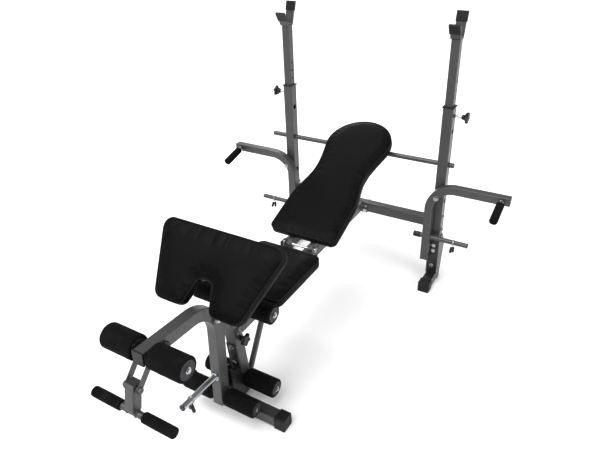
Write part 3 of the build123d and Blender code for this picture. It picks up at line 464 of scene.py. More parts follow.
class Finishes:
    """All materials of the bench, made once."""

    def __init__(self) -> None:
        """Makes the materials."""
        # Painted shade: a darker copy of the frame's powder coat for the dark_enamel slot, so the brackets look
        # shaded though their paint is the frame's.
        shaded_bracket_coat = PowderCoat(
            "shade_darkened_bracket_coat", (0.007, 0.007, 0.008), (0.012, 0.012, 0.013), (0.04, 0.04, 0.042)
        )
        self.of_slot = {
            Slot.ENAMEL: PowderCoat().build(),
            Slot.DARK: shaded_bracket_coat.build(),
            Slot.VINYL: UpholsteryVinyl().build(),
            Slot.FOAM: ClosedCellFoam().build(),
            Slot.RUBBER: MouldedRubber().build(),
            Slot.PLASTIC: MouldedPlastic().build(),
            Slot.CHROME: PlatedSteel("chrome_plate", (0.42, 0.43, 0.46), (0.06, 0.15)).build(),
            Slot.ZINC: PlatedSteel("zinc_plate", (0.46, 0.46, 0.48), (0.20, 0.34), 0.15).build(),
        }
        self.piping = PipingVinyl().build()
        self.dust_cloth = DustCloth().build()
        self.cap = MouldedPlastic("grey_cap_plastic", (0.013, 0.013, 0.014), (0.42, 0.55)).build()


# ---------------------------------------------------------------- mesh making


def new_piece(name: str, points: np.ndarray, faces: list[tuple[int, ...]]) -> bpy.types.Object:
    """Makes an object from points and faces, with smooth shading and outward normals.

    Args:
        name: The object's name.
        points: One row of three coordinates for each point.
        faces: Point numbers of each face.

    Returns:
        The linked object.
    """
    mesh = bpy.data.meshes.new(name)
    mesh.from_pydata([tuple(p) for p in points], [], faces)
    shell = bmesh.new()
    shell.from_mesh(mesh)
    bmesh.ops.recalc_face_normals(shell, faces=shell.faces)
    shell.to_mesh(mesh)
    shell.free()
    mesh.shade_smooth()
    piece = bpy.data.objects.new(name, mesh)
    bpy.context.scene.collection.objects.link(piece)
    return piece


def band(here: int, there: int, count: int) -> list[tuple[int, ...]]:
    """Joins two rings of points by a closed band of faces.

    Args:
        here: Number of the first ring's first point.
        there: Number of the second ring's first point.
        count: Points in each ring.

    Returns:
        The band's faces.
    """
    after = [(k + 1) % count for k in range(count)]
    return [(here + k, here + n, there + n, there + k) for k, n in enumerate(after)]


def across(direction: Vector) -> tuple[Vector, Vector]:
    """Returns two unit vectors at right angles to a direction and to each other."""
    side = direction.orthogonal().normalized()
    return side, direction.cross(side).normalized()


def lathe(
    name: str,
    start: Vector,
    direction: Vector,
    profile: list[tuple[float, float]],
    segments: int = 64,
    closed: bool = False,
    lobes: list[float] | None = None,
) -> bpy.types.Object:
    """Turns a profile round an axis.

    Args:
        name: The piece's name.
        start: Zero of the distances along the axis.
        direction: The axis.
        profile: Distance along the axis and radius of each point.
        segments: Points round the axis.
        closed: True joins the last ring to the first, for a tube with a wall.
        lobes: Share by which each ring's radius swells at five lobes.

    Returns:
        The turned piece.
    """
    direction = direction.normalized()
    side, up = across(direction)
    waves = lobes or [0.0] * len(profile)
    points = []
    for (along, radius), wave in zip(profile, waves):
        for k in range(segments):
            turn = 2 * math.pi * k / segments
            reach = radius * (1 + wave * math.cos(5 * turn))
            points.append(start + direction * along + (side * math.cos(turn) + up * math.sin(turn)) * reach)
    faces = []
    rings = len(profile)
    for ring in range(rings if closed else rings - 1):
        after = (ring + 1) % rings
        for k in range(segments):
            n = (k + 1) % segments
            here, there = ring * segments, after * segments
            faces.append((here + k, here + n, there + n, there + k))
    if not closed:
        faces.append(tuple(range(segments)))
        faces.append(tuple((rings - 1) * segments + k for k in range(segments)))
    return new_piece(name, np.array([tuple(p) for p in points]), faces)


def tube_along(
    name: str, path: list[Vector], radii: list[float], closed: bool = False, segments: int = 12
) -> bpy.types.Object:
    """Makes a round tube along a path.

    Args:
        name: The piece's name.
        path: Points of the centre line.
        radii: Radius at each point.
        closed: True joins the end to the start.
        segments: Points round the tube.

    Returns:
        The tube.
    """
    count = len(path)
    points = []
    last = None
    for i, spot in enumerate(path):
        before = path[i - 1] if closed or i > 0 else spot
        after = path[(i + 1) % count] if closed or i < count - 1 else spot
        heading = (after - before).normalized()
        side = across(heading)[0] if last is None else (last - heading * last.dot(heading)).normalized()
        last = side
        up = heading.cross(side)
        for k in range(segments):
            turn = 2 * math.pi * k / segments
            points.append(spot + (side * math.cos(turn) + up * math.sin(turn)) * radii[i])
    faces = []
    for i in range(count if closed else count - 1):
        j = (i + 1) % count
        shift = 0
        if closed and j == 0:
            shift = closing_shift(points, count, segments)
        for k in range(segments):
            n = (k + 1) % segments
            a, b = (k + shift) % segments, (n + shift) % segments
            here, there = i * segments, j * segments
            faces.append((here + k, here + n, there + b, there + a))
    if not closed:
        faces.append(tuple(range(segments)))
        faces.append(tuple((count - 1) * segments + k for k in range(segments)))
    return new_piece(name, np.array([tuple(p) for p in points]), faces)


def closing_shift(points: list[Vector], count: int, segments: int) -> int:
    """Finds how far the last ring of a closed tube is turned against its first.

    Args:
        points: All points, ring after ring.
        count: Number of rings.
        segments: Points in a ring.

    Returns:
        The number of points to turn by.
    """
    probe = points[(count - 1) * segments]
    return min(range(segments), key=lambda k: (points[k] - probe).length)


def roughen(piece: bpy.types.Object, height: float, scale: float, seed: float) -> None:
    """Moves a piece's points a little along their normals, so that it isn't machine-perfect.

    Args:
        piece: The piece.
        height: Largest move.
        scale: Waves per metre.
        seed: Picks another part of the noise for each piece.
    """
    mesh = piece.data
    for vertex in mesh.vertices:
        wave = noise.noise(Vector(vertex.co) * scale + Vector((seed, 0.37 * seed, 0.0)))
        vertex.co += vertex.normal * wave * height


def join(name: str, parts: list[bpy.types.Object]) -> bpy.types.Object:
    """Joins several meshes into one piece.

    Args:
        name: The joined piece's name.
        parts: The meshes, which are used up.

    Returns:
        The joined piece.
    """
    merged = bmesh.new()
    for part in parts:
        merged.from_mesh(part.data)
        bpy.data.objects.remove(part)
    mesh = bpy.data.meshes.new(name)
    merged.to_mesh(mesh)
    merged.free()
    mesh.shade_smooth()
    piece = bpy.data.objects.new(name, mesh)
    bpy.context.scene.collection.objects.link(piece)
    return piece


def dress(piece: bpy.types.Object, material: bpy.types.Material, body: str) -> None:
    """Gives a new piece its material and the body that it rides on.

    Args:
        piece: The piece.
        material: Its material.
        body: The CAD body's name.
    """
    piece.data.materials.clear()
    piece.data.materials.append(material)
    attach(piece, body)
    log.info("%s rides on %s", piece.name, body)


def node_points(node: str) -> np.ndarray:
    """Reads the points of a CAD node's mesh.

    Args:
        node: The node.

    Returns:
        The points, one row each.
    """
    mesh = frame["nodes"][node].data
    points = np.zeros(len(mesh.vertices) * 3)
    mesh.vertices.foreach_get("co", points)
    return points.reshape(-1, 3)


@dataclass
class RoundBar:
    """Axis, length and radius of a round CAD solid."""

    start: Vector
    direction: Vector
    length: float
    radius: float

    @classmethod
    def measured(cls, points: np.ndarray, heading: Vector) -> "RoundBar":
        """Measures a round solid from its points.

        Args:
            points: The solid's points.
            heading: Rough direction of its axis, which picks the start.

        Returns:
            The measured bar.
        """
        middle = (points.min(0) + points.max(0)) / 2
        spread = np.linalg.svd(points - points.mean(0), full_matrices=False)[2][0]
        axis = Vector(heading) if abs(np.dot(spread, heading)) < 0.7 else Vector(spread)
        axis = axis.normalized() * (1.0 if axis.dot(heading) > 0 else -1.0)
        along = (points - middle) @ np.array(axis)
        radial = np.linalg.norm((points - middle) - np.outer(along, np.array(axis)), axis=1)
        start = Vector(middle) + axis * float(along.min())
        return cls(start, axis, float(along.max() - along.min()), float(radial.max()))


# ---------------------------------------------------------------- upholstery


@dataclass
class PadPlane:
    """Flat frame of a pad: across the bench, along the pad, and out of its face."""

    along: Vector
    normal: Vector

    @classmethod
    def of_node(cls, node: str) -> "PadPlane":
        """Finds the frame of a pad from its broad upper face.

        Args:
            node: The pad's CAD node.

        Returns:
            The frame.
        """
        sums: dict[tuple[float, ...], Vector] = {}
        for polygon in frame["nodes"][node].data.polygons:
            if polygon.normal.z > 0.3:
                key = tuple(round(c, 2) for c in polygon.normal)
                sums[key] = sums.get(key, Vector()) + polygon.normal * polygon.area
        normal = max(sums.values(), key=lambda total: total.length).normalized()
        return cls(normal.cross(X_AXIS).normalized(), normal)

    def turn(self) -> np.ndarray:
        """Returns the matrix whose rows are the frame's three directions."""
        return np.array([tuple(X_AXIS), tuple(self.along), tuple(self.normal)])

    def to_flat(self, points: np.ndarray) -> np.ndarray:
        """Turns bench points into pad coordinates."""
        return points @ self.turn().T

    def to_space(self, points: np.ndarray) -> np.ndarray:
        """Turns pad coordinates into bench points."""
        return points @ self.turn()


class Outline:
    """Closed outline of a pad in its own plane."""

    def __init__(self, points: np.ndarray, spacing: float) -> None:
        """Spaces the outline's points evenly.

        Args:
            points: Corner points in order.
            spacing: Distance between the new points.
        """
        ring = np.vstack([points, points[:1]])
        steps = np.linalg.norm(np.diff(ring, axis=0), axis=1)
        run = np.concatenate([[0.0], np.cumsum(steps)])
        count = int(run[-1] / spacing)
        at = np.linspace(0.0, run[-1], count, endpoint=False)
        self.points = np.column_stack([np.interp(at, run, ring[:, k]) for k in range(2)])
        x, y = self.points[:, 0], self.points[:, 1]
        if np.sum(x * np.roll(y, -1) - np.roll(x, -1) * y) < 0:
            self.points = self.points[::-1].copy()
        for _ in range(2):
            beside = np.roll(self.points, 1, 0) + np.roll(self.points, -1, 0)
            self.points = 0.5 * self.points + 0.25 * beside

    @classmethod
    def of_node(cls, node: str, plane: PadPlane, spacing: float) -> "Outline":
        """Reads the outline of a pad's flat underside.

        Args:
            node: The pad's CAD node.
            plane: The pad's frame.
            spacing: Distance between the outline's points.

        Returns:
            The outline.
        """
        mesh = frame["nodes"][node].data
        flat = plane.to_flat(node_points(node))
        low = flat[:, 2].min()
        spot = {}
        edges: dict[tuple[tuple[float, float], tuple[float, float]], int] = {}
        for polygon in mesh.polygons:
            corners = list(polygon.vertices)
            if any(flat[v, 2] > low + 0.1 * MM for v in corners):
                continue
            keys = [(round(flat[v, 0], 4), round(flat[v, 1], 4)) for v in corners]
            for a, b in zip(keys, keys[1:] + keys[:1]):
                if a != b:
                    edges[(a, b)] = edges.get((a, b), 0) + 1
        for a, b in edges:
            if (b, a) not in edges:
                spot[a] = b
        first = next(iter(spot))
        loop = [first]
        while spot[loop[-1]] != first:
            loop.append(spot[loop[-1]])
        return cls(np.array(loop), spacing)

    def outward(self) -> np.ndarray:
        """Finds the outward direction at each point.

        Returns:
            One unit vector a row.
        """
        tangent = np.roll(self.points, -1, 0) - np.roll(self.points, 1, 0)
        tangent /= np.linalg.norm(tangent, axis=1)[:, None]
        return np.column_stack([tangent[:, 1], -tangent[:, 0]])

    def grown(self, amount: float) -> np.ndarray:
        """Returns the outline's points moved outward by an amount."""
        return self.points + self.outward() * amount

    def reach(self, spots: np.ndarray) -> tuple[np.ndarray, np.ndarray, np.ndarray]:
        """Measures how far points are from the outline.

        Args:
            spots: Points in the pad's plane.

        Returns:
            The distance of each, the outward normal there, and the nearest place on the outline.
        """
        a = self.points
        b = np.roll(a, -1, 0)
        edge = b - a
        length = (edge**2).sum(1)
        best = np.full(len(spots), np.inf)
        place = np.zeros((len(spots), 2))
        normal = np.zeros((len(spots), 2))
        outward = self.outward()
        after = np.roll(outward, -1, 0)
        for k in range(len(a)):
            share = np.clip(((spots - a[k]) @ edge[k]) / length[k], 0, 1)[:, None]
            foot = a[k] + share * edge[k]
            gap = np.linalg.norm(spots - foot, axis=1)
            closer = gap < best
            best[closer] = gap[closer]
            place[closer] = foot[closer]
            normal[closer] = ((1 - share) * outward[k] + share * after[k])[closer]
        return best, normal, place


@dataclass
class Cushion:
    """Boxed vinyl cushion: crowned top panel, piped seam, side band, and a stapled underside."""

    node: str
    body: str
    voxel: float = 5.0 * MM
    seam_drop: float = 7.0 * MM
    crown: float = 8.0 * MM
    crown_run: float = 24.0 * MM
    band_bulge: float = 2.2 * MM
    piping_radius: float = 1.7 * MM
    piping_inset: float = 1.4 * MM
    piping_drop: float = 0.6 * MM
    tape_width: float = 7.5 * MM
    tape_half: float = 0.5 * MM
    pressure: float = 4.0
    most_move: float = 5.0 * MM
    fill: float = 0.85
    cloth_under: float = 15.0 * MM
    staple_pitch: float = 32.0 * MM
    plane: PadPlane = field(init=False)
    outline: Outline = field(init=False)
    low: float = field(init=False)
    high: float = field(init=False)

    def __post_init__(self) -> None:
        """Measures the pad's CAD solid."""
        self.plane = PadPlane.of_node(self.node)
        self.outline = Outline.of_node(self.node, self.plane, 5.0 * MM)
        heights = self.plane.to_flat(node_points(self.node))[:, 2]
        self.low, self.high = float(heights.min()), float(heights.max())

    @property
    def seam(self) -> float:
        """Height of the piped seam."""
        return self.high - self.seam_drop

    def block(self) -> bpy.types.Object:
        """Makes the plain foam block, evenly meshed, in pad coordinates.

        Returns:
            The block.
        """
        ring = self.outline.grown(-1.0 * MM)
        count = len(ring)
        points = np.vstack(
            [
                np.column_stack([ring, np.full(count, self.low + 1.0 * MM)]),
                np.column_stack([ring, np.full(count, self.seam)]),
            ]
        )
        faces = [tuple(range(count)), tuple(range(count, 2 * count))]
        faces += band(0, count, count)
        piece = new_piece(f"{self.node}_cushion", points, faces)
        remesh = piece.modifiers.new("even", "REMESH")
        remesh.mode = "VOXEL"
        remesh.voxel_size = self.voxel
        bake_modifiers(piece)
        return piece

    def shape(self, piece: bpy.types.Object) -> None:
        """Crowns the top panel and swells the side band.

        Args:
            piece: The evenly meshed block.
        """
        points = mesh_points(piece)
        gap, out, place = self.outline.reach(points[:, :2])
        side = gap < 0.5 * self.voxel
        points[side, :2] = place[side] - out[side] * 1.0 * MM
        band = np.clip((points[:, 2] - self.low) / (self.seam - self.low), 0, 1)
        swell = np.sin(np.pi * band) * np.exp(-gap / (3 * MM)) * self.band_bulge
        points[:, :2] += out * swell[:, None]
        top = points[:, 2] > self.seam - 0.6 * self.voxel
        inside = np.clip(gap - 1.0 * MM, 0, None)
        points[top, 2] += (self.crown * (1 - np.exp(-inside / self.crown_run)))[top]
        set_points(piece, points)

    def pins(self, piece: bpy.types.Object) -> None:
        """Holds the underside and the seam while the cover is blown up.

        Args:
            piece: The shaped block.
        """
        points = mesh_points(piece)
        gap = self.outline.reach(points[:, :2])[0]
        group = piece.vertex_groups.new(name="held")
        for index, (height, inside) in enumerate(zip(points[:, 2], gap)):
            if height < self.low + 7 * MM:
                group.add([index], 1.0, "REPLACE")
            elif inside < 5 * MM and height > self.seam - 4 * MM:
                group.add([index], 0.85, "REPLACE")

    def inflate(self, piece: bpy.types.Object) -> None:
        """Blows the cover up a little as cloth under pressure, then keeps the shape.

        Args:
            piece: The shaped block, with its held points.
        """
        rest = mesh_points(piece)
        modifier = piece.modifiers.new("cover", "CLOTH")
        cloth = modifier.settings
        cloth.quality = 5
        cloth.mass = 0.35
        cloth.tension_stiffness = 25
        cloth.compression_stiffness = 12
        cloth.bending_stiffness = 1.2
        cloth.shrink_min = -0.012
        cloth.vertex_group_mass = "held"
        cloth.use_pressure = True
        cloth.uniform_pressure_force = self.pressure
        cloth.effector_weights.gravity = 0.0
        modifier.collision_settings.use_collision = False
        scene = bpy.context.scene
        for step in range(1, 15):
            scene.frame_set(step)
        bake_modifiers(piece)
        scene.frame_set(1)
        moved = mesh_points(piece) - rest
        size = np.linalg.norm(moved, axis=1)
        share = np.minimum(1.0, self.most_move / np.maximum(size, 1e-9))
        set_points(piece, rest + moved * share[:, None])

    def cover(self) -> bpy.types.Object:
        """Makes the upholstered cover in the frame of the bench.

        Returns:
            The cover.
        """
        piece = self.block()
        self.shape(piece)
        self.pins(piece)
        self.inflate(piece)
        piece.vertex_groups.clear()
        relax(piece, 2)
        subdivision = piece.modifiers.new("fine", "SUBSURF")
        subdivision.levels = 1
        bake_modifiers(piece)
        set_points(piece, self.plane.to_space(mesh_points(piece)))
        piece.data.shade_smooth()
        return piece

    def ring(self, grow: float, height: float) -> list[Vector]:
        """Lays the outline out in the frame of the bench.

        Args:
            grow: Distance to move it outward.
            height: Height above zero of the pad coordinates.

        Returns:
            The outline's points in order.
        """
        flat = self.outline.grown(grow)
        points = np.column_stack([flat, np.full(len(flat), height)])
        return [Vector(p) for p in self.plane.to_space(points)]

    def piping(self) -> bpy.types.Object:
        """Makes the piping along the top seam, with the tape that it is sewn in by.

        Returns:
            The piping.
        """
        height = self.seam - self.piping_drop
        path = self.ring(-self.piping_inset, height)
        cord = tube_along("cord", path, [self.piping_radius] * len(path), True, 10)
        inner = -self.piping_inset - self.tape_width
        corners = ((-self.piping_inset, 1), (inner, 1), (inner, -1), (-self.piping_inset, -1))
        rings = [self.ring(grow, height + up * self.tape_half) for grow, up in corners]
        count = len(path)
        faces = []
        for j in range(4):
            here, there = j * count, (j + 1) % 4 * count
            faces += band(here, there, count)
        points = np.array([tuple(p) for ring in rings for p in ring])
        tape = new_piece("tape", points, faces)
        return join(f"{self.node}_piping", [cord, tape])

    def underside(self) -> bpy.types.Object:
        """Makes the dust cloth over the board.

        Returns:
            The cloth.
        """
        ring = self.outline.grown(-self.cloth_under)
        count = len(ring)
        heights = (self.low + 0.2 * MM, self.low + 1.8 * MM)
        points = np.vstack([np.column_stack([ring, np.full(count, h)]) for h in heights])
        faces = [tuple(range(count)), tuple(range(count, 2 * count))]
        faces += band(0, count, count)
        return new_piece(f"{self.node}_dust_cloth", self.plane.to_space(points), faces)

    def staples(self) -> bpy.types.Object:
        """Makes the row of staples that hold the cover to the board.

        Returns:
            The staples, as one piece.
        """
        path = self.ring(-0.6 * self.cloth_under, self.low + 0.7 * MM)
        every = max(1, round(self.staple_pitch / (5 * MM)))
        wires = []
        for k in range(0, len(path) - every // 2, every):
            heading = (path[(k + 1) % len(path)] - path[k - 1]).normalized()
            ends = [path[k] - heading * 5 * MM, path[k] + heading * 5 * MM]
            wires.append(tube_along("staple", ends, [0.5 * MM] * 2, False, 6))
        return join(f"{self.node}_staples", wires)

    def build(self, finishes: Finishes) -> None:
        """Makes and dresses all pieces of the cushion.

        Args:
            finishes: The bench's materials.
        """
        cover = self.cover()
        dress(cover, finishes.of_slot[Slot.VINYL], self.body)
        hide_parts(self.node)
        dress(self.piping(), finishes.piping, self.body)
        dress(self.underside(), finishes.dust_cloth, self.body)
        dress(self.staples(), finishes.of_slot[Slot.ZINC], self.body)


def mesh_points(piece: bpy.types.Object) -> np.ndarray:
    """Reads a piece's points.

    Args:
        piece: The piece.

    Returns:
        The points, one row each.
    """
    points = np.zeros(len(piece.data.vertices) * 3)
    piece.data.vertices.foreach_get("co", points)
    return points.reshape(-1, 3)


def set_points(piece: bpy.types.Object, points: np.ndarray) -> None:
    """Moves a piece's points to new places."""
    piece.data.vertices.foreach_set("co", points.ravel())
    piece.data.update()


def bake_modifiers(piece: bpy.types.Object) -> None:
    """Replaces a piece's mesh with what its modifiers make of it, and clears them.

    Args:
        piece: The piece.
    """
    bpy.context.view_layer.update()
    shown = piece.evaluated_get(bpy.context.evaluated_depsgraph_get())
    mesh = bpy.data.meshes.new_from_object(shown)
    old = piece.data
    piece.modifiers.clear()
    piece.data = mesh
    bpy.data.meshes.remove(old)


def relax(piece: bpy.types.Object, rounds: int) -> None:
    """Evens out a piece's surface.

    Args:
        piece: The piece.
        rounds: Number of smoothing rounds.
    """
    shell = bmesh.new()
    shell.from_mesh(piece.data)
    for _ in range(rounds):
        bmesh.ops.smooth_vert(
            shell, verts=shell.verts, factor=0.5, use_axis_x=True, use_axis_y=True, use_axis_z=True
        )
    shell.to_mesh(piece.data)
    shell.free()


# ---------------------------------------------------------------- foam rollers and grips


@dataclass
class FoamRoller:
    """Foam roller with a moulded cap at each end."""

    node: str
    body: str
    seed: float
    rim: float = 7.0 * MM
    bore: float = 8.4 * MM
    cap_share: float = 0.74
    ripple: float = 0.45 * MM

    def build(self, finishes: Finishes) -> None:
        """Makes and dresses the roller and its caps.

        Args:
            finishes: The bench's materials.
        """
        bar = RoundBar.measured(node_points(self.node), X_AXIS)
        foam = self.foam(bar)
        roughen(foam, self.ripple, 38.0, self.seed)
        dress(foam, finishes.of_slot[Slot.FOAM], self.body)
        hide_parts(self.node)
        caps = join(f"{self.node}_caps", [self.cap(bar, end) for end in (0, 1)])
        dress(caps, finishes.cap, self.body)

    def foam(self, bar: RoundBar) -> bpy.types.Object:
        """Makes the foam sleeve.

        Args:
            bar: The CAD roller's measure.

        Returns:
            The sleeve.
        """
        radius = bar.radius - 0.4 * MM
        turns = [t * math.pi / 2 for t in (0.0, 0.13, 0.3, 0.5, 0.72, 1.0)]
        rounding = [(self.rim * (1 - math.cos(t)), self.rim * (1 - math.sin(t))) for t in turns]
        seat = radius * self.cap_share
        profile = [(2.2 * MM, self.bore), (2.0 * MM, seat * 0.9), (0.6 * MM, seat + 2 * MM)]
        profile += [(0.3 * MM + along, radius - drop) for along, drop in rounding]
        spans = 22
        inner = bar.length - 2 * self.rim - 0.6 * MM
        for k in range(1, spans):
            profile.append((0.3 * MM + self.rim + inner * k / spans, radius))
        profile += [(bar.length - along, r) for along, r in reversed(profile[: 3 + len(rounding)])]
        return lathe(self.node + "_foam", bar.start, bar.direction, profile, 72, closed=True)

    def cap(self, bar: RoundBar, end: int) -> bpy.types.Object:
        """Makes one end cap, set into the foam.

        Args:
            bar: The CAD roller's measure.
            end: 0 for the start, 1 for the far end.

        Returns:
            The cap.
        """
        radius = bar.radius * self.cap_share
        face = [
            (7.0, self.bore + 3.5 * MM),
            (7.0, self.bore),
            (-0.4, self.bore),
            (-0.5, self.bore + 4.0 * MM),
            (0.4, self.bore + 5.5 * MM),
            (0.6, radius - 4.0 * MM),
            (-0.1, radius - 2.6 * MM),
            (-0.6, radius - 1.4 * MM),
            (-0.2, radius - 0.3 * MM),
            (0.8, radius),
            (3.4, radius - 0.2 * MM),
            (3.6, self.bore + 3.6 * MM),
        ]
        profile = [(along * MM, r) for along, r in face]
        start, heading = bar.start, bar.direction
        if end:
            start, heading = start + heading * bar.length, -heading
        return lathe("cap", start, heading, profile, 64, closed=True)


@dataclass
class HandGrip:
    """Soft sleeve of a handle, with moulded rings near both ends and a closed outer end."""

    name: str
    body: str
    bar: RoundBar
    bore: float
    rings: int = 3
    ring_depth: float = 0.7 * MM
    rim: float = 4.0 * MM

    def radius_at(self, along: float) -> float:
        """Finds the grip's radius, with its rings and its slight swell.

        Args:
            along: Distance from the open end.

        Returns:
            The radius.
        """
        radius = self.bar.radius - 0.3 * MM
        for k in range(self.rings):
            for middle in (10 * MM + 6 * MM * k, self.bar.length - 12 * MM - 6 * MM * k):
                radius -= self.ring_depth * math.exp(-(((along - middle) / (1.1 * MM)) ** 2))
        swell = math.sin(math.pi * along / self.bar.length)
        return radius + 0.25 * MM * swell

    def build(self, material: bpy.types.Material) -> bpy.types.Object:
        """Makes and dresses the grip.

        Args:
            material: The grip's foam.

        Returns:
            The grip.
        """
        length, rim = self.bar.length, self.rim
        outer = self.bar.radius - 0.3 * MM
        profile = [(14 * MM, self.bore), (0.0, self.bore), (0.0, outer - rim)]
        profile += [(rim * (1 - math.cos(t)), outer - rim + rim * math.sin(t)) for t in (0.5, 1.0)]
        steps = max(40, int(length / (1.1 * MM)))
        body = [rim + (length - 2 * rim) * k / steps for k in range(steps + 1)]
        profile += [(along, self.radius_at(along)) for along in body]
        profile += [(length - rim * (1 - math.cos(t)), outer - rim + rim * math.sin(t)) for t in (1.0, 0.5)]
        dish = length - 0.8 * MM
        profile += [(length, outer - rim), (dish, outer - rim - 3 * MM), (dish, 1.0 * MM)]
        grip = lathe(self.name, self.bar.start, self.bar.direction, profile, 56)
        dress(grip, material, self.body)
        return grip


# ---------------------------------------------------------------- knobs, clips and welds


@dataclass
class StarKnob:
    """Five-lobed hand knob with a hub and a dished face."""

    node: str
    body: str

    def build(self, finishes: Finishes) -> None:
        """Makes and dresses the knob.

        Args:
            finishes: The bench's materials.
        """
        joint = next(j for j in frame["joints"] if j["child"] == self.body)
        heading = Vector(joint["axis"]).normalized()
        low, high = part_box(self.node)
        centre = Vector(joint["pos_m"])
        inner = low if heading.x > 0 else high
        near = centre + heading * (inner - centre).dot(heading)
        rings = [
            (1.0, 5.2, 0.0),
            (0.0, 5.2, 0.0),
            (0.0, 10.6, 0.0),
            (0.8, 11.6, 0.0),
            (8.0, 12.2, 0.0),
            (13.0, 12.8, 0.02),
            (15.2, 15.0, 0.10),
            (16.2, 19.0, 0.17),
            (17.6, 21.8, 0.20),
            (20.0, 22.8, 0.20),
            (27.0, 22.8, 0.20),
            (30.0, 21.4, 0.20),
            (31.4, 18.4, 0.18),
            (31.9, 14.0, 0.10),
            (31.7, 10.6, 0.0),
            (30.6, 9.6, 0.0),
            (30.4, 8.0, 0.0),
            (31.0, 7.2, 0.0),
            (31.2, 3.0, 0.0),
            (31.2, 0.4, 0.0),
        ]
        profile = [(along * MM, radius * MM) for along, radius, _ in rings]
        knob = lathe(self.node + "_star", near, heading, profile, 90, lobes=[wave for *_, wave in rings])
        dress(knob, finishes.of_slot[Slot.PLASTIC], self.body)
        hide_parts(self.node)


@dataclass
class SpringClip:
    """Wire spring clip on a weight peg: two coils and two legs with plastic sleeves."""

    node: str
    body: str
    mount: str
    down: Vector
    wire: float = 1.6 * MM
    peg_radius: float = 12.5 * MM
    turns: float = 2.0
    spread: float = 0.35
    leg_length: float = 38.0 * MM
    sleeve_length: float = 31.0 * MM
    sleeve_radius: float = 7.2 * MM

    def build(self, finishes: Finishes) -> None:
        """Makes and dresses the wire and its sleeves.

        Args:
            finishes: The bench's materials.
        """
        mount = next(m for m in frame["record"]["mounts"] if m["name"] == self.mount)
        axis = Vector(mount["axis"]).normalized()
        origin = Vector(mount["pos_m"])
        low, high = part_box(self.node)
        centre = origin + axis * ((low + high) / 2 - origin).dot(axis)
        down = (self.down - axis * self.down.dot(axis)).normalized()
        side = axis.cross(down)
        coil = self.peg_radius + self.wire + 0.15 * MM
        pitch = 2 * self.wire + 0.3 * MM
        path = []
        steps = 72
        sweep = 2 * math.pi * self.turns
        for k in range(steps + 1):
            share = k / steps
            turn = sweep * share
            along = pitch * self.turns * (share - 0.5)
            path.append(centre + axis * along + (down * math.cos(turn) + side * math.sin(turn)) * coil)
        legs = []
        for end, sign in ((path[0], -1.0), (path[-1], 1.0)):
            lever = (down + side * sign * self.spread).normalized()
            legs.append((end, lever))
        first = [legs[0][0] + legs[0][1] * self.leg_length * t for t in (1.0, 0.66, 0.33)]
        last = [legs[1][0] + legs[1][1] * self.leg_length * t for t in (0.33, 0.66, 1.0)]
        route = first + path + last
        wire = tube_along(self.node + "_wire", route, [self.wire] * len(route), False, 10)
        dress(wire, finishes.of_slot[Slot.CHROME], self.body)
        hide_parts(self.node)
        sleeves = []
        for end, lever in legs:
            start = end + lever * (self.leg_length - self.sleeve_length + 4 * MM)
            r, full = self.sleeve_radius, self.sleeve_length
            profile = [(0.0, self.wire), (0.0, r - 1.6 * MM), (1.0 * MM, r - 0.4 * MM), (3.0 * MM, r)]
            profile += [(full - 4 * MM, r * 0.94), (full - 1.5 * MM, r * 0.72)]
            profile += [(full - 0.3 * MM, r * 0.35), (full, 0.3 * MM)]
            sleeves.append(lathe("sleeve", start, lever, profile, 24))
        both = join(self.node + "_sleeves", sleeves)
        dress(both, finishes.of_slot[Slot.PLASTIC], self.body)


@dataclass
class WeldBead:
    """Rippled weld bead, painted with the frame."""

    name: str
    body: str
    path: list[Vector]
    closed: bool = False
    radius: float = 2.3 * MM
    ripple: float = 3.2 * MM

    def build(self, finishes: Finishes) -> None:
        """Makes and dresses the bead.

        Args:
            finishes: The bench's materials.
        """
        ring = self.path + self.path[:1] if self.closed else self.path
        fine: list[Vector] = []
        for a, b in zip(ring, ring[1:]):
            count = max(1, int((b - a).length / (self.ripple / 4)))
            fine += [a.lerp(b, k / count) for k in range(count)]
        if not self.closed:
            fine.append(ring[-1])
        radii = [self.radius * (1.0 + 0.16 * math.cos(math.pi * k / 2)) for k in range(len(fine))]
        if not self.closed:
            for k in range(3):
                radii[k] *= 0.45 + 0.2 * k
                radii[-1 - k] *= 0.45 + 0.2 * k
        bead = tube_along(self.name, fine, radii, self.closed, 8)
        dress(bead, finishes.of_slot[Slot.ENAMEL], self.body)


def square_ring(centre: Vector, first: Vector, second: Vector, half: float, corner: float) -> list[Vector]:
    """Returns points round a square tube with rounded corners.

    Args:
        centre: The tube's axis in the plane of the ring.
        first: One direction across the tube.
        second: The other direction across the tube.
        half: Half of the tube's width.
        corner: Radius of the corners.

    Returns:
        The ring's points in order.
    """
    points = []
    for quarter, (a, b) in enumerate(((1, 1), (-1, 1), (-1, -1), (1, -1))):
        middle = centre + (first * a + second * b) * (half - corner)
        for k in range(4):
            turn = math.pi / 2 * (quarter + k / 3)
            points.append(middle + (first * math.cos(turn) + second * math.sin(turn)) * corner)
    return points


def round_ring(centre: Vector, axis: Vector, radius: float) -> list[Vector]:
    """Spaces points on a circle round an axis.

    Args:
        centre: Middle of the circle.
        axis: The axis.
        radius: The radius.

    Returns:
        The circle's points in order.
    """
    side, up = across(axis.normalized())
    turns = [2 * math.pi * k / 40 for k in range(40)]
    return [centre + (side * math.cos(t) + up * math.sin(t)) * radius for t in turns]


# ---------------------------------------------------------------- sub-assemblies


@dataclass
class CadFinish:
    """Gives each CAD node the material of its slot."""

    sharp_angle: float = 30.0

    def build(self, finishes: Finishes) -> None:
        """Dresses every CAD node.

        Args:
            finishes: The bench's materials.
        """
        slots = {s["node"]: s["material_slot"] for s in frame["record"]["subparts"]}
        for name, node in frame["nodes"].items():
            node.data.materials.clear()
            node.data.materials.append(finishes.of_slot[Slot(slots[name])])
            log.info("%s has finish %s", name, slots[name])


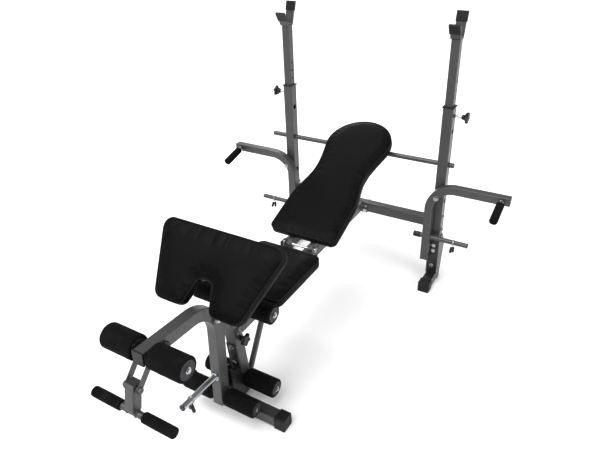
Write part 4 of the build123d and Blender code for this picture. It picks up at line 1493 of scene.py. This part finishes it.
@dataclass
class Upholstery:
    """Seat, backrest and arm curl pad."""

    def build(self, finishes: Finishes) -> None:
        """Makes the three cushions.

        Args:
            finishes: The bench's materials.
        """
        Cushion("seat_pad", "root").build(finishes)
        Cushion("backrest_pad", "backrest").build(finishes)
        Cushion("curl_pad", "curl_pad").build(finishes)


@dataclass
class Rollers:
    """The eight foam rollers."""

    kinds: tuple[str, ...] = ("knee", "foot", "thigh", "ankle")

    def build(self, finishes: Finishes) -> None:
        """Makes the rollers.

        Args:
            finishes: The bench's materials.
        """
        for number, kind in enumerate(self.kinds):
            for word, side in SIDES.items():
                name = f"{kind}_roller_{word}"
                FoamRoller(name, name, seed=3.1 * number + side).build(finishes)


@dataclass
class Grips:
    """Hand grips of the butterfly arms and of the curl bar."""

    handle_bore: float = 10.6 * MM
    curl_bore: float = 12.6 * MM

    def build(self, finishes: Finishes) -> None:
        """Makes the four grips.

        Args:
            finishes: The bench's materials.
        """
        foam = finishes.of_slot[Slot.FOAM]
        for word in SIDES:
            bar = RoundBar.measured(node_points(f"butterfly_grip_{word}"), -Y_AXIS)
            arm = f"butterfly_arm_{word}"
            grip = HandGrip(f"butterfly_sleeve_{word}", arm, bar, self.handle_bore).build(foam)
            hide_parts(f"butterfly_grip_{word}")
        points = node_points("curl_grips")
        for word, side in SIDES.items():
            own = points[points[:, 0] * side > 0]
            bar = RoundBar.measured(own, X_AXIS * side)
            grip = HandGrip(f"curl_sleeve_{word}", "curl_bar", bar, self.curl_bore).build(foam)
            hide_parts("curl_grips")


@dataclass
class Knobs:
    """Star knobs of the uprights and of the arm curl pad."""

    def build(self, finishes: Finishes) -> None:
        """Makes the three knobs.

        Args:
            finishes: The bench's materials.
        """
        for name in ("upright_knob_left", "upright_knob_right", "curl_pad_knob"):
            StarKnob(name, name).build(finishes)


@dataclass
class Clips:
    """Spring clips of the three weight pegs."""

    def build(self, finishes: Finishes) -> None:
        """Makes the clips.

        Args:
            finishes: The bench's materials.
        """
        for word in SIDES:
            name = f"peg_clip_{word}"
            SpringClip(name, name, f"butterfly_plate_peg_{word}", Vector((0, -0.3, -0.95))).build(finishes)
        SpringClip("leg_peg_clip", "leg_peg_clip", "leg_plate_peg", -Z_AXIS).build(finishes)


@dataclass
class Welds:
    """Weld beads at the frame's joints."""

    half: float = 25.0 * MM
    corner: float = 3.0 * MM
    plate: float = 4.0 * MM
    inner_share: float = 0.8
    thin: float = 1.8 * MM
    fine: float = 1.9 * MM
    socket_radius: float = 13.0 * MM
    socket_faces: tuple[float, float] = (380.0 * MM, 420.0 * MM)
    curl_tube_half: float = 19.0 * MM
    base_margin: float = 2.0 * MM

    def build(self, finishes: Finishes) -> None:
        """Makes all beads.

        Args:
            finishes: The bench's materials.
        """
        for bead in self.rack() + self.bench() + self.arms():
            bead.build(finishes)

    def rack(self) -> list[WeldBead]:
        """Plans the beads of the crossbeam, the feet and the forks.

        Returns:
            The beads.
        """
        beads = []
        low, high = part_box("rear_crossbeam")
        middle = (low + high) / 2
        for word, side in SIDES.items():
            face = Vector((side * (high.x - self.plate), middle.y, middle.z))
            ring = square_ring(face, Y_AXIS, Z_AXIS, self.half, self.corner)
            beads.append(WeldBead(f"crossbeam_weld_{word}", "root", ring, closed=True))
            foot_low, foot_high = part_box(f"rear_foot_{word}")
            x = (foot_low.x + foot_high.x) / 2
            z = foot_low.z + 2 * self.half
            for edge in (-1, 1):
                line = x + edge * (self.half + 0.5 * self.plate)
                ends = [Vector((line, y, z)) for y in (middle.y - self.half, middle.y + self.half)]
                place = "inner" if edge * side < 0 else "outer"
                beads.append(WeldBead(f"foot_weld_{word}_{place}", "root", ends))
            beads.append(self.fork(word, x, middle.y))
        return beads

    def fork(self, word: str, x: float, y: float) -> WeldBead:
        """Plans the bead between a bar fork and its inner upright.

        Args:
            word: The side's name.
            x: The upright's axis across the bench.
            y: The upright's axis along the bench.

        Returns:
            The bead.
        """
        half = self.inner_share * self.half
        points = node_points(f"inner_upright_{word}")
        flat = points[np.abs(np.abs(points[:, 1] - y) - half) < 0.2 * MM, 2].max()
        ring = square_ring(Vector((x, y, flat)), X_AXIS, Y_AXIS, half, self.corner)
        return WeldBead(f"fork_weld_{word}", f"inner_upright_{word}", ring, closed=True, radius=self.thin)

    def bench(self) -> list[WeldBead]:
        """Plans the beads of the main beam, the seat frame and the base.

        Returns:
            The beads.
        """
        seat_low, seat_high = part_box("seat_frame")
        rear = Vector((0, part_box("main_beam")[1].y - self.plate, seat_low.z - self.half))
        ring = square_ring(rear, X_AXIS, Z_AXIS, self.half, self.corner)
        beads = [WeldBead("beam_rear_weld", "root", ring, closed=True)]
        for word, y in (("front", seat_low.y), ("rear", seat_high.y)):
            ends = [Vector((x, y, seat_low.z)) for x in (-0.9 * self.half, 0.9 * self.half)]
            beads.append(WeldBead(f"seat_riser_weld_{word}", "root", ends))
        low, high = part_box("front_base_tube")
        for word, side in SIDES.items():
            x = side * (self.half + 0.5 * self.plate)
            ends = [Vector((x, y, high.z)) for y in (low.y + self.base_margin, high.y - self.base_margin)]
            beads.append(WeldBead(f"base_bracket_weld_{word}", "root", ends))
        return beads

    def arms(self) -> list[WeldBead]:
        """Plans the beads of the weight pegs and the curl bar.

        Returns:
            The beads.
        """
        beads = []
        mounts = {mount["name"]: Vector(mount["pos_m"]) for mount in frame["record"]["mounts"]}
        curl = RoundBar.measured(node_points("curl_grips"), X_AXIS).start
        for word, side in SIDES.items():
            arm = f"butterfly_arm_{word}"
            peg = mounts[f"butterfly_plate_peg_{word}"]
            for place, x in zip(("inner", "outer"), self.socket_faces):
                ring = round_ring(Vector((side * x, peg.y, peg.z)), X_AXIS, self.socket_radius)
                beads.append(WeldBead(f"peg_weld_{word}_{place}", arm, ring, closed=True, radius=self.fine))
            face = Vector((side * self.curl_tube_half, curl.y, curl.z))
            ring = round_ring(face, X_AXIS, self.socket_radius)
            beads.append(WeldBead(f"curl_bar_weld_{word}", "curl_bar", ring, closed=True, radius=self.fine))
        return beads


# ---------------------------------------------------------------- studio


@dataclass
class Camera:
    """The camera that looks at the bench from its front right, from above."""

    place: tuple[float, float, float] = (1.0986, -1.6131, 1.7809)
    heading: float = 31.07
    tilt: float = 30.52
    roll: float = -1.92
    lens: float = 32.36
    shift: tuple[float, float] = (-0.0119, 0.0020)

    def build(self) -> None:
        """Makes the camera and sets it as the scene's own."""
        yaw, pitch, roll = (math.radians(v) for v in (self.heading, self.tilt, self.roll))
        ahead = Vector((-math.sin(yaw) * math.cos(pitch), math.cos(yaw) * math.cos(pitch), -math.sin(pitch)))
        level = Vector((math.cos(yaw), math.sin(yaw), 0.0))
        up = level.cross(ahead)
        right = level * math.cos(roll) + up * math.sin(roll)
        upright = up * math.cos(roll) - level * math.sin(roll)
        data = bpy.data.cameras.new("studio_camera")
        data.lens = self.lens
        data.shift_x, data.shift_y = self.shift
        camera = bpy.data.objects.new("studio_camera", data)
        turn = Matrix((right, upright, -ahead)).transposed().to_4x4()
        camera.matrix_world = Matrix.Translation(self.place) @ turn
        bpy.context.scene.collection.objects.link(camera)
        bpy.context.scene.camera = camera


@dataclass
class SoftBox:
    """One soft studio light."""

    name: str
    place: tuple[float, float, float]
    size: float
    power: float
    target: tuple[float, float, float] = (0.0, 0.0, 0.5)

    def build(self) -> None:
        """Makes the light, aimed at its target."""
        data = bpy.data.lights.new(self.name, "AREA")
        data.energy = self.power
        data.size = self.size
        lamp = bpy.data.objects.new(self.name, data)
        lamp.location = self.place
        heading = Vector(self.target) - Vector(self.place)
        lamp.rotation_euler = heading.to_track_quat("-Z", "Y").to_euler()
        bpy.context.scene.collection.objects.link(lamp)


@dataclass
class Studio:
    """Pale floor, white surroundings and soft lights."""

    floor_half: float = 30.0
    floor_color: tuple[float, float, float] = (0.92, 0.92, 0.92)
    sky: float = 0.42
    sun_power: float = 4.2
    sun_spread: float = 60.0
    sun_from: tuple[float, float, float] = (-0.25, -0.45, 1.0)

    def build(self) -> None:
        """Makes the floor, the surroundings and the lights."""
        half = self.floor_half
        corners = np.array([(-half, -half, 0), (half, -half, 0), (half, half, 0), (-half, half, 0)], float)
        floor = new_piece("studio_floor", corners, [(0, 1, 2, 3)])
        sheet = NodeSheet("pale_floor")
        sheet.fix("Base Color", (*self.floor_color, 1.0))
        sheet.fix("Roughness", 0.9)
        floor.data.materials.append(sheet.material)
        world = bpy.data.worlds.new("white_surroundings")
        world.use_nodes = True
        background = world.node_tree.nodes["Background"]
        background.inputs["Color"].default_value = (1.0, 1.0, 1.0, 1.0)
        background.inputs["Strength"].default_value = self.sky
        bpy.context.scene.world = world
        sun = bpy.data.lights.new("wide_sun", "SUN")
        sun.energy = self.sun_power
        sun.angle = math.radians(self.sun_spread)
        lamp = bpy.data.objects.new("wide_sun", sun)
        lamp.rotation_euler = (-Vector(self.sun_from)).to_track_quat("-Z", "Y").to_euler()
        bpy.context.scene.collection.objects.link(lamp)
        for light in (
            SoftBox("right_softbox", (3.4, -0.8, 2.2), 2.0, 60.0),
            SoftBox("rear_softbox", (-1.8, 3.4, 2.6), 1.6, 30.0),
        ):
            light.build()
        bpy.context.scene.view_settings.view_transform = "Standard"


def main() -> None:
    """Builds the scene."""
    logging.basicConfig(level=logging.INFO, format="%(name)s: %(message)s")
    Camera().build()
    Studio().build()
    finishes = Finishes()
    for group in (CadFinish(), Upholstery(), Rollers(), Grips(), Knobs(), Clips(), Welds()):
        group.build(finishes)


if __name__ == "__main__":
    main()
